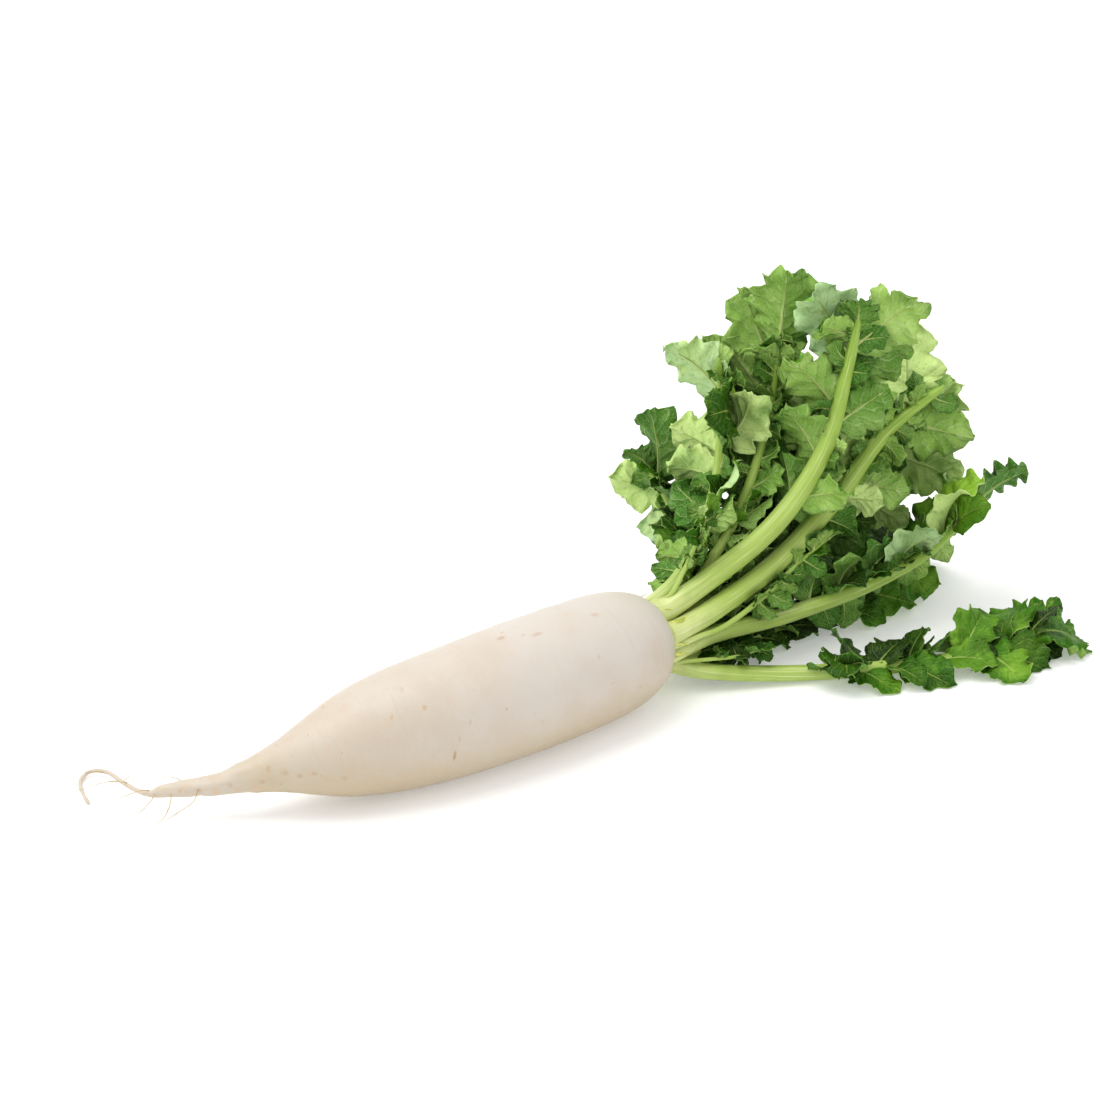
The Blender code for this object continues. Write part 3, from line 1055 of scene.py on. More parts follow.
@dataclass(frozen=True)
class Rootlets:
    """The fine hairs that leave the root near its tail."""

    shape: RootShape
    skin: FibreSkin
    hairs: tuple[Hair, ...] = (
        Hair(0.345, 3.3, ((-4, -4, -5), (-10, -5, -11), (-19, -2, -15)), 0.38),
        Hair(0.385, 2.9, ((-6, -4, -4), (-15, -3, -8), (-26, 3, -16)), 0.38),
        Hair(0.36, 0.3, ((-2, 6, 2), (-5, 12, 0), (-10, 17, -6)), 0.32),
        Hair(0.30, 3.0, ((-5, -3, -2), (-12, -3, -6), (-20, 3, -9)), 0.34),
        Hair(0.28, 1.2, ((-6, 1, 2), (-16, 2, 1), (-28, 7, -4)), 0.32),
        Hair(0.215, 1.6, ((-8, 3, 3), (-20, 5, 3), (-30, 12, -2)), 0.34),
        Hair(0.20, 0.2, ((5, 3, -1), (10, 7, -3), (17, 8, -6)), 0.28),
        Hair(0.155, 2.9, ((-5, 2, 1), (-8, 6, 0), (-7, 12, -2)), 0.26),
        Hair(0.42, 0.1, ((-3, 5, -4), (-6, 9, -10), (-12, 12, -15)), 0.34),
    )
    steps: int = 200
    tube: Tube = Tube(6, 22)
    lowest: float = 0.3
    foot_share: float = 0.75
    collar: float = 0.6
    loss: float = 0.75

    def build(self) -> bpy.types.Object:
        """Builds and shows the rootlets.

        Returns:
            The piece.
        """
        spine = row_spine(self.shape.body_rows(self.steps))
        parts = []
        for hair in self.hairs:
            station = spine.at(hair.place)
            radius = smooth_row(self.shape.line, hair.place)[3]
            foot = station.around(hair.angle, radius * self.foot_share)
            points = [foot, station.around(hair.angle, radius + self.collar)]
            points += [foot + Vector(step) for step in hair.route]
            for point in points:
                point.z = max(point.z, self.lowest)
            line = Spine(even_path(points, self.tube.rings + 1), UP)
            parts.append(self.tube.build(line, thread_radius(hair.thickness, self.loss)))
        return show(parts, "rootlets", [self.skin.material()])


# The leaves


class Whorl(Enum):
    """The rings of stems, each with its radius and its height over the shoulder's face."""

    OUTER = (16.3, 0.0)
    INNER = (5.0, 7.0)
    RIM = (19.6, -0.6)


@dataclass(frozen=True)
class Leaf:
    """One lobed leaf: how its stem runs, and how its leaflets are sized and placed.

    The stem stands at an angle round the crown, in degrees from the far side over the top, and
    passes through the route's points. The blade turns about the stem by so many degrees at its
    end. Pairs of leaflets follow the stem's bare share, longer toward its end, where the end lobe
    stands. The lean is how much further than usual they lift, in radians.
    """

    name: str
    whorl: Whorl
    slot: float
    route: tuple[Row, ...]
    foot_radius: float
    turn: float
    bare_share: float
    pairs: int
    leaflet_length: float
    end_length: float
    lean: float
    seed: int

    FAR_SIDE = 25.0

    @property
    def behind(self) -> bool:
        """Whether the leaf ends on the far side, where small leaflets hide its bare stem."""
        return self.route[-1][1] > self.FAR_SIDE


LEAVES = (
    Leaf("leaf_floor_near", Whorl.OUTER, 244, ((130, -12, 12), (184, -39, 5.8), (240, -68, 5.6),
         (292, -86, 7), (322, -94, 13)), 5.2, 50, 0.36, 5, 42, 52, 0.0, 36),
    Leaf("leaf_low_near", Whorl.OUTER, 202, ((140, -1, 29), (196, -5, 28), (248, -12, 33),
         (294, -20, 46), (334, -26, 72)), 5.4, 20, 0.42, 6, 48, 50, 0.6, 17),
    Leaf("leaf_thick_near", Whorl.OUTER, 155, ((142, 0, 45), (196, 5, 60), (244, 8, 88),
         (284, 8, 122), (330, 6, 142)), 6.5, 0, 0.48, 7, 54, 56, 0.4, 10),
    Leaf("leaf_tall", Whorl.OUTER, 104, ((140, 8, 60), (192, 6, 84), (228, 4, 124),
         (244, 4, 170), (252, 4, 206)), 6.5, 40, 0.45, 7, 56, 38, 0.5, 2),
    Leaf("leaf_upright_far", Whorl.OUTER, 52, ((138, 25, 61), (178, 46, 88), (198, 62, 130),
         (198, 68, 172)), 4.8, 0, 0.34, 6, 54, 52, 0.0, 29),
    Leaf("leaf_far", Whorl.OUTER, 4, ((140, 34, 44), (176, 70, 54), (192, 104, 66),
         (192, 130, 86)), 4.5, 0, 0.30, 6, 52, 46, 0.0, 59),
    Leaf("leaf_floor_far", Whorl.OUTER, 321, ((140, 32, 20), (198, 66, 9), (256, 92, 10),
         (306, 104, 22)), 4.5, 0, 0.32, 6, 50, 54, 0.0, 54),
    Leaf("leaf_floor_middle", Whorl.OUTER, 283, ((136, 12, 12), (196, 16, 6), (254, 20, 8),
         (330, 32, 22)), 4.4, 0, 0.34, 6, 48, 50, 0.0, 45),
    Leaf("leaf_inner_near", Whorl.INNER, 170, ((142, 13, 42), (204, 20, 50), (256, 28, 62),
         (300, 32, 80), (330, 34, 106)), 3.4, 0, 0.40, 7, 50, 54, 0.0, 59),
    Leaf("leaf_crest", Whorl.INNER, 80, ((140, 18, 52), (190, 33, 90), (219, 44, 138),
         (230, 48, 190)), 3.4, 40, 0.34, 6, 54, 50, 0.0, 32),
    Leaf("leaf_inner_far", Whorl.INNER, 350, ((140, 24, 42), (198, 46, 58), (244, 64, 88),
         (272, 78, 124)), 3.4, 0, 0.34, 6, 52, 54, 0.0, 21),
)


YOUNG = (
    Leaf("young_inner", Whorl.INNER, 260, ((126, 7, 36), (142, 7, 36), (176, 8, 40), (206, 8, 50),
         (232, 10, 58)), 2.0, 20, 0.30, 6, 20, 22, 0.0, 3),
    Leaf("young_front", Whorl.RIM, 179, ((122, -9, 36), (142, -9, 37), (175, -6, 46), (205, -2, 58),
         (235, 0, 68)), 1.7, 0, 0.42, 7, 22, 24, 0.0, 5),
    Leaf("young_low", Whorl.RIM, 223, ((114, -8, 22), (128, -13, 21), (144, -18, 20),
         (162, -23, 23)), 1.3, 30, 0.45, 4, 13, 14, 0.0, 7),
    Leaf("young_far", Whorl.RIM, 78, ((114, 9, 58), (126, 12, 68), (138, 14, 84),
         (150, 16, 104)), 1.5, 0, 0.35, 5, 18, 18, 0.0, 11),
)


@dataclass(frozen=True)
class Floor:
    """The table as a leaf meets it: what would sink into it comes to lie on it."""

    clearance: float = 0.5
    softness: float = 1.6
    deepest: float = -7.0

    def lift(self, z: float) -> float:
        """A height kept just above the table."""
        above = z - self.clearance
        return self.clearance + 0.5 * (above + math.hypot(above, self.softness))

    def rest(self, point: Vector) -> Vector:
        """A point kept just above the table."""
        return Vector((point.x, point.y, self.lift(point.z)))


@dataclass(frozen=True)
class Leaflet:
    """One leaflet's size and how it curls, with angles in radians and lengths in millimetres."""

    length: float
    width: float
    teeth: int
    droop: float
    trough: float
    ruffle: float
    waves: float
    phase: float
    twist: float

    STALK = 1.2
    TOOTH = 0.17
    TIP = 0.98
    WIDEST = 0.85
    ROUNDNESS = 0.66
    WAVE_LAG = 1.3
    LOBE = 1.3
    LOBE_SHAPE = 0.8
    LOBE_STRAY = 0.12
    FINE_TEETH = 3.4
    FINE_DEPTH = 0.11
    UNEVEN = 0.14
    SWEEP = 0.045
    CRINKLE = 0.115
    PUCKER = 0.050
    EDGE_WAVE = 0.060
    GROOVE = 0.45
    GROOVE_WIDTH = 1.3
    OTHER_SIDE = 0.37

    def outline(self, u: float) -> float:
        """The share of the full width at a share of the length."""
        return math.sin(math.pi * min(u, self.TIP) ** self.WIDEST) ** self.ROUNDNESS

    def rise(self, across: float, u: float, v: float) -> float:
        """How far the blade is lifted by its trough and its wavy edge."""
        wave = math.sin(self.waves * u * math.tau + self.phase + self.WAVE_LAG * v)
        return self.trough * abs(across) + self.ruffle * self.width * v * v * wave * min(1, 3 * u)

    def bent(self, u: float, across: float, lift: float) -> Vector:
        """Twists and droops the blade.

        Args:
            u: The share of the way from stalk to tip.
            across: The distance from the midrib.
            lift: The height over the flat blade.

        Returns:
            The point, with the stalk at the origin and the blade along X.
        """
        turn = self.twist * u
        side = across * math.cos(turn) - lift * math.sin(turn)
        lift = across * math.sin(turn) + lift * math.cos(turn)
        bend = self.droop * u
        radius = self.length / self.droop
        outer = radius + lift
        return Vector((math.sin(bend) * outer, side, math.cos(bend) * outer - radius))

    def plain_point(self, u: float, v: float) -> Vector:
        """A point of the plain blade, as the solid has it.

        Args:
            u: The share of the way from stalk to tip.
            v: The place across, from -1 to 1.

        Returns:
            The point, with the stalk at the origin and the blade along X.
        """
        outline = self.outline(u)
        notch = abs((u * self.teeth) % 1.0 - 0.5) * 4.0 - 1.0
        half = self.STALK * (1 - u) + 0.5 * self.width * outline * (1 - self.TOOTH * notch)
        across = half * v
        return self.bent(u, across, self.rise(across, u, v))

    def fine_point(self, u: float, v: float) -> Vector:
        """A point of the finished blade, with lobed and toothed edges and puckers between its veins.

        Args:
            u: The share of the way from stalk to tip.
            v: The place across, from -1 to 1.

        Returns:
            The point, with the stalk at the origin and the blade along X.
        """
        side = 0.0 if v < 0 else self.OTHER_SIDE
        lobes = u * self.teeth + self.LOBE_STRAY * math.sin(self.phase + side)
        lobe = 1.0 - 2.0 * abs(math.sin(math.pi * lobes)) ** self.LOBE_SHAPE
        tooth = abs(math.sin(math.pi * (u * (self.FINE_TEETH * self.teeth) + self.phase + side)))
        uneven = noise.noise(Vector((u * 5.0, side * 9.0, self.phase * 3.0)))
        edge = 1.0 - self.LOBE * self.TOOTH * lobe - self.FINE_DEPTH * (1.0 - tooth)
        edge += self.UNEVEN * uneven
        half = self.STALK * (1 - u) + 0.5 * self.width * self.outline(u) * edge
        across = half * v
        reach = min(u + self.SWEEP * v * v * math.sin(math.pi * u), 1.0)
        lift = self.rise(across, reach, v)
        crinkle = noise.noise(Vector((u * self.length * 0.13, across * 0.13, self.phase * 7.0)))
        pucker = noise.noise(Vector((u * self.length * 0.31, across * 0.31, self.phase * 5.0)))
        edge_wave = math.sin(u * math.tau * (self.teeth + 1.6) + self.phase * 2 + 2.0 * v)
        lift += self.width * (self.CRINKLE * crinkle + self.PUCKER * pucker) * abs(v) ** 0.7
        lift += self.EDGE_WAVE * self.width * v * v * edge_wave
        lift -= self.GROOVE * max(0.0, 1.0 - abs(across) / self.GROOVE_WIDTH) * (1.0 - u)
        return self.bent(reach, across, lift)


@dataclass(frozen=True)
class Setting:
    """A leaflet in its place."""

    shape: Leaflet
    placing: Matrix


@dataclass(frozen=True)
class Grown:
    """A leaflet that has grown, with its surface and the points that it lies within."""

    setting: Setting
    tree: BVHTree
    points: list[Vector]


@dataclass(frozen=True)
class Spot:
    """A place on a stem where a leaflet may grow."""

    place: float
    side: int
    length: float
    end: bool


def placing_matrix(station: Station, side: int, spread: float, lift: float, roll: float) -> Matrix:
    """Where a leaflet starts and how it lies.

    Args:
        station: The place on the stem.
        side: Which side of the stem, -1 or 1.
        spread: The angle between the leaflet and the stem.
        lift: The angle at which it rises from the leaf's face.
        roll: Its turn about its own length.

    Returns:
        The matrix that takes the leaflet there.
    """
    sideways = station.side * (side * math.cos(lift)) + station.upper * math.sin(lift)
    forward = (station.along * math.cos(spread) + sideways * math.sin(spread)).normalized()
    face = (station.upper - forward * station.upper.dot(forward)).normalized()
    face = Matrix.Rotation(roll, 3, forward) @ face
    width = face.cross(forward)
    return Matrix.Translation(station.point) @ Matrix((forward, width, face)).transposed().to_4x4()


def box(points: Sequence[Vector]) -> tuple[Vector, Vector]:
    """The lowest and the highest corner of the box round some points."""
    rows = list(zip(*points))
    return Vector([min(row) for row in rows]), Vector([max(row) for row in rows])


class Thicket:
    """Everything that has grown so far, which the next leaflet has to clear."""

    MARGIN = 1.0

    def __init__(self, trees: Iterable[tuple[BVHTree, Vector, Vector]] = ()) -> None:
        """Starts with surfaces that have grown before, each with the corners of its own box."""
        self.trees = list(trees)

    def add(self, tree: BVHTree, points: Sequence[Vector]) -> None:
        """Adds a surface that has grown and the points that it lies within."""
        self.trees.append((tree, *box(points)))

    def near(self, low: Vector, high: Vector, distance: float) -> list[BVHTree]:
        """Picks out what may come near a box.

        Args:
            low: The box's lowest corner.
            high: Its highest corner.
            distance: How near is near.

        Returns:
            The surfaces whose own boxes are no further away.
        """
        return [
            tree
            for tree, least, most in self.trees
            if all(least[k] - distance <= high[k] and most[k] + distance >= low[k] for k in range(3))
        ]

    def clears(self, sheet: bmesh.types.BMesh, tree: BVHTree, distance: float) -> bool:
        """Whether a leaflet keeps its distance from everything grown.

        Args:
            sheet: The leaflet's plain sheet.
            tree: The same as a search tree.
            distance: How near it may come.

        Returns:
            True if nothing is nearer.
        """
        probes = [vertex.co for vertex in sheet.verts]
        probes += [(edge.verts[0].co + edge.verts[1].co) / 2 for edge in sheet.edges]
        probes += [face.calc_center_median() for face in sheet.faces]
        for other in self.near(*box(probes), distance + self.MARGIN):
            if tree.overlap(other):
                return False
            if any(other.find_nearest(probe, distance)[0] for probe in probes):
                return False
        return True


@dataclass(frozen=True)
class Growth:
    """How leaflets find their places: each takes the first way to lie that clears the rest.

    Each pair is the least and the greatest that a chance may give. Angles are in radians, and
    widths are shares of the leaflet's length. The small values are those of the leaflets that the
    solids leave out.
    """

    floor: Floor = Floor()
    distance: float = 1.9
    tries: int = 26
    shrink_after: int = 14
    shrink_step: float = 0.045
    last_place: float = 0.93
    end_place: float = 0.955
    stagger: float = 0.2
    first_size: float = 0.5
    sizes: Row = (0.88, 1.12)
    widths: Row = (0.60, 0.76)
    end_widths: Row = (0.74, 0.9)
    wide_length: float = 38.0
    droops: Row = (0.5, 1.6)
    troughs: Row = (0.06, 0.46)
    ruffles: Row = (0.05, 0.13)
    waves: Row = (0.8, 1.5)
    twists: Row = (-0.6, 0.6)
    spreads: Row = (0.8, 1.25)
    end_spreads: Row = (0.0, 0.35)
    lifts: Row = (-0.1, 0.85)
    rolls: Row = (-0.6, 0.6)
    small_seed: int = 1000
    small_count: int = 84
    small_start: float = 0.40
    small_end: float = 0.97
    small_lengths: Row = (13.0, 40.0)
    small_tries: int = 16
    small_shrink: float = 0.03
    small_distance: float = 0.5
    small_spreads: Row = (0.55, 1.55)
    small_lifts: Row = (-0.5, 1.1)
    small_rolls: Row = (-0.9, 0.9)
    lean_spread: float = 0.6
    lean_lift: float = 0.9
    clean_share: float = 0.06
    sprout_size: float = 0.5
    sprout_count: int = 3
    foot_reach: float = 6.0
    foot_overlap: float = 8.0

    def sheet(self, setting: Setting) -> tuple[bmesh.types.BMesh, float]:
        """A leaflet's plain sheet in its place.

        Args:
            setting: The leaflet and its place.

        Returns:
            The sheet, and its lowest height before the table lifts it.
        """
        sheet = bmesh.new()
        bmesh.ops.create_grid(sheet, x_segments=2 * setting.shape.teeth, y_segments=2, size=0.5)
        lowest = 0.0
        for vertex in sheet.verts:
            point = setting.placing @ setting.shape.plain_point(vertex.co.x + 0.5, vertex.co.y * 2)
            lowest = min(lowest, point.z)
            point.z = self.floor.lift(point.z)
            vertex.co = point
        bmesh.ops.triangulate(sheet, faces=sheet.faces)
        return sheet, lowest

    def choice(
        self, draw: random.Random, spot: Spot, share: float, lean: float
    ) -> tuple[Leaflet, float, float, float]:
        """One way that a leaflet may be shaped and set.

        Args:
            draw: Where the chances come from.
            spot: The place on the stem.
            share: The share of its full size that it grows to.
            lean: How much further than usual it lifts from the leaf's face, in radians.

        Returns:
            The leaflet, and its spread, lift and roll.
        """
        size = spot.length * share
        shape = Leaflet(
            length=size,
            width=size * draw.uniform(*(self.end_widths if spot.end else self.widths)),
            teeth=4 if spot.end else (2 if spot.length < self.wide_length else 3),
            droop=draw.uniform(*self.droops),
            trough=draw.uniform(*self.troughs),
            ruffle=draw.uniform(*self.ruffles),
            waves=draw.uniform(*self.waves),
            phase=draw.uniform(0, math.tau),
            twist=draw.uniform(*self.twists),
        )
        spread = draw.uniform(*(self.end_spreads if spot.end else self.spreads))
        return shape, spread, lean + draw.uniform(*self.lifts), draw.uniform(*self.rolls)

    def spots(self, leaf: Leaf, draw: random.Random) -> list[Spot]:
        """Places a leaf's pairs of leaflets and its end lobe.

        Args:
            leaf: The leaf.
            draw: Where the chances come from.

        Returns:
            The places, from the foot to the end.
        """
        spots = []
        for k in range(leaf.pairs):
            for side in (-1, 1):
                step = k + 0.5 + self.stagger * side
                place = leaf.bare_share + (self.last_place - leaf.bare_share) * step / leaf.pairs
                grown = self.first_size + (1 - self.first_size) * (k + 1) / leaf.pairs
                length = leaf.leaflet_length * grown * draw.uniform(*self.sizes)
                spots.append(Spot(place, side, length, False))
        spots.append(Spot(self.end_place, 1, leaf.end_length, True))
        return spots

    def leaflets(self, leaf: Leaf, spine: Spine, thicket: Thicket) -> list[Setting]:
        """Grows a leaf's leaflets where the solid has them.

        Args:
            leaf: The leaf.
            spine: Its stem.
            thicket: Everything grown before, which the new leaflets join.

        Returns:
            The leaflets in their places.
        """
        draw = random.Random(leaf.seed)
        siblings: list[Grown] = []

        def fits(sheet: bmesh.types.BMesh, tree: BVHTree) -> bool:
            """Whether a leaflet crosses no sibling and keeps its distance from everything else."""
            crossed = any(tree.overlap(sibling.tree) for sibling in siblings)
            return not crossed and thicket.clears(sheet, tree, self.distance)

        for spot in self.spots(leaf, draw):
            siblings += self.first_fit(self.ways(leaf, spot, spine.at(spot.place), draw), fits)
        for sibling in siblings:
            thicket.add(sibling.tree, sibling.points)
        return [sibling.setting for sibling in siblings]

    def ways(
        self, leaf: Leaf, spot: Spot, station: Station, draw: random.Random
    ) -> Iterator[Setting]:
        """The ways to lie that a leaflet of the solids tries, smaller after the first ones.

        Args:
            leaf: The leaf.
            spot: The leaflet's place on the stem.
            station: The same place on the stem's line.
            draw: Where the chances come from.

        Yields:
            The leaflet, set in one way after another.
        """
        for attempt in range(self.tries):
            share = 1.0 - self.shrink_step * max(0, attempt - self.shrink_after)
            shape, spread, lift, roll = self.choice(draw, spot, share, leaf.lean)
            yield Setting(shape, placing_matrix(station, spot.side, spread, lift, roll))

    def small_ways(
        self, leaf: Leaf, spot: Spot, station: Station, draw: random.Random
    ) -> Iterator[Setting]:
        """The ways to lie that a small leaflet tries, each smaller than the one before.

        Args:
            leaf: The leaf.
            spot: The leaflet's place on the stem.
            station: The same place on the stem's line.
            draw: Where the chances come from.

        Yields:
            The leaflet, set in one way after another.
        """
        least, most = self.small_spreads
        for attempt in range(self.small_tries):
            shape, _, _, _ = self.choice(draw, spot, 1.0 - self.small_shrink * attempt, 0.0)
            spread = draw.uniform(least + self.lean_spread * leaf.lean, most)
            lift = draw.uniform(*self.small_lifts) + self.lean_lift * leaf.lean
            roll = draw.uniform(*self.small_rolls)
            yield Setting(shape, placing_matrix(station, spot.side, spread, lift, roll))

    def first_fit(
        self, ways: Iterable[Setting], fits: Callable[[bmesh.types.BMesh, BVHTree], bool]
    ) -> list[Grown]:
        """Takes the first way to lie that stays over the table and fits.

        Args:
            ways: The ways to lie, in the order in which they are tried.
            fits: Tells whether a plain sheet, and the same as a search tree, fits.

        Returns:
            The leaflet as it has grown, or nothing if no way fits.
        """
        for setting in ways:
            sheet, lowest = self.sheet(setting)
            tree = BVHTree.FromBMesh(sheet)
            points = [vertex.co.copy() for vertex in sheet.verts]
            found = lowest > self.floor.deepest and fits(sheet, tree)
            sheet.free()
            if found:
                return [Grown(setting, tree, points)]
        return []

    def extras(self, leaf: Leaf, spine: Spine, thicket: Thicket) -> list[Setting]:
        """Fills the gaps among a grown leaf's leaflets with small ones that the solid leaves out.

        Args:
            leaf: The leaf.
            spine: Its stem.
            thicket: Everything grown before, which the new leaflets join.

        Returns:
            The small leaflets in their places.
        """
        clean = leaf.bare_share + self.clean_share
        start = leaf.bare_share * self.small_start if leaf.behind else clean
        return self.small(leaf, spine, thicket, self.small_count, start, self.small_lengths)

    def sprouts(self, leaf: Leaf, spine: Spine, thicket: Thicket) -> list[Setting]:
        """Grows the leaflets of a young leaf.

        Args:
            leaf: The leaf.
            spine: Its stem.
            thicket: Everything grown before, which the new leaflets join.

        Returns:
            The leaflets in their places.
        """
        count = self.sprout_count * leaf.pairs
        lengths = (self.sprout_size * leaf.leaflet_length, leaf.leaflet_length)
        return self.small(leaf, spine, thicket, count, leaf.bare_share, lengths)

    def small(
        self,
        leaf: Leaf,
        spine: Spine,
        thicket: Thicket,
        count: int,
        start: float,
        lengths: Row,
    ) -> list[Setting]:
        """Grows small leaflets here and there along a stem, wherever they find room.

        Args:
            leaf: The leaf.
            spine: Its stem.
            thicket: Everything grown before, which the new leaflets join.
            count: How many are tried.
            start: The place on the stem where they begin.
            lengths: The least and the greatest length.

        Returns:
            The leaflets in their places.
        """
        draw = random.Random(leaf.seed + self.small_seed)
        kept = []
        for _ in range(count):
            place = draw.uniform(start, self.small_end)
            spot = Spot(place, draw.choice((-1, 1)), draw.uniform(*lengths), False)
            station = spine.at(place)

            def fits(sheet: bmesh.types.BMesh, tree: BVHTree) -> bool:
                """Whether the leaflet crosses nothing away from its foot."""
                return self.free(sheet, tree, thicket, station.point)

            for grown in self.first_fit(self.small_ways(leaf, spot, station, draw), fits):
                kept.append(grown.setting)
                thicket.add(grown.tree, grown.points)
        return kept

    def free(self, sheet: bmesh.types.BMesh, tree: BVHTree, thicket: Thicket, foot: Vector) -> bool:
        """Whether a small leaflet crosses nothing, apart from what stands at its own foot.

        Args:
            sheet: The leaflet's plain sheet.
            tree: The same as a search tree.
            thicket: Everything grown before.
            foot: Where the leaflet leaves its stem.

        Returns:
            True if it is free.
        """
        points = [vertex.co for vertex in sheet.verts]
        probes = [point for point in points if (point - foot).length > self.foot_reach]
        sheet.faces.ensure_lookup_table()
        for other in thicket.near(*box(points), self.small_distance):
            for mine, _ in tree.overlap(other):
                if (sheet.faces[mine].calc_center_median() - foot).length > self.foot_overlap:
                    return False
            if any(other.find_nearest(probe, self.small_distance)[0] for probe in probes):
                return False
        return True


@dataclass(frozen=True)
class StemRelief:
    """What shapes a stem's skin, as shares of its radius.

    A groove runs along its upper face and ridges run all round it. Its foot flares and its end
    is drawn in.
    """

    groove: float = 0.20
    groove_width: float = 0.75
    groove_fade: float = 0.4
    ridge: float = 0.022
    fine_ridge: float = 0.012
    flare: float = 0.22
    flare_length: float = 7.0
    lumps: float = 0.05
    swell: float = 1.04
    end: float = 0.98
    end_swell: float = 0.7

    def share(self, place: float, angle: float, length: float, shift: float) -> float:
        """The share of the plain stem's radius that the skin has.

        Args:
            place: The share of the way along the stem.
            angle: The angle round it.
            length: The distance from its foot.
            shift: What sets this stem's ridges and lumps apart from the others'.

        Returns:
            The share.
        """
        off = (angle + math.pi / 2) % math.tau - math.pi
        upper = math.exp(-((off / self.groove_width) ** 2))
        groove = 1.0 - self.groove * upper * (1.0 - self.groove_fade * place)
        ridges = 1.0 + self.ridge * math.cos(7 * angle + shift)
        ridges += self.fine_ridge * math.cos(13 * angle + 2 * shift)
        flare = 1.0 + self.flare * math.exp(-length / self.flare_length)
        spot = Vector((place * 9.0, math.cos(angle), math.sin(angle) + shift))
        lump = 1.0 + self.lumps * noise.noise(spot)
        return groove * ridges * flare * lump * (self.swell if place < self.end else self.end_swell)


@dataclass(frozen=True)
class Rib:
    """The rib along the under face of a leaflet, thinner toward the tip.

    It runs from its start by so many equal steps, and its tones are its first and last places in
    the colours of the stem.
    """

    tube: Tube = Tube(6, 10)
    start: float = 0.005
    step: float = 0.078
    drop: float = 0.28
    radius: float = 0.42
    radius_share: float = 0.012
    loss: float = 0.72
    tones: Row = (0.10, 0.22)

    def build(self, setting: Setting, floor: Floor, lowest: float) -> bmesh.types.BMesh:
        """Builds the rib.

        Args:
            setting: The leaflet in its place.
            floor: The table, as the leaflet meets it.
            lowest: The height that the rib's skin doesn't go below.

        Returns:
            The rib's skin.
        """
        points = []
        for k in range(self.tube.rings + 1):
            local = setting.shape.fine_point(self.start + self.step * k, 0.0)
            local.z -= self.drop
            points.append(floor.rest(setting.placing @ local))
        line = Spine(points, setting.placing.to_3x3() @ UP)
        thickness = self.radius + self.radius_share * setting.shape.length
        mesh = self.tube.build(line, thread_radius(thickness, self.loss), lowest)
        carried = mesh.verts.layers.float["along"]
        first, last = self.tones
        for vertex in mesh.verts:
            vertex[carried] = first + (last - first) * vertex[carried]
        return mesh


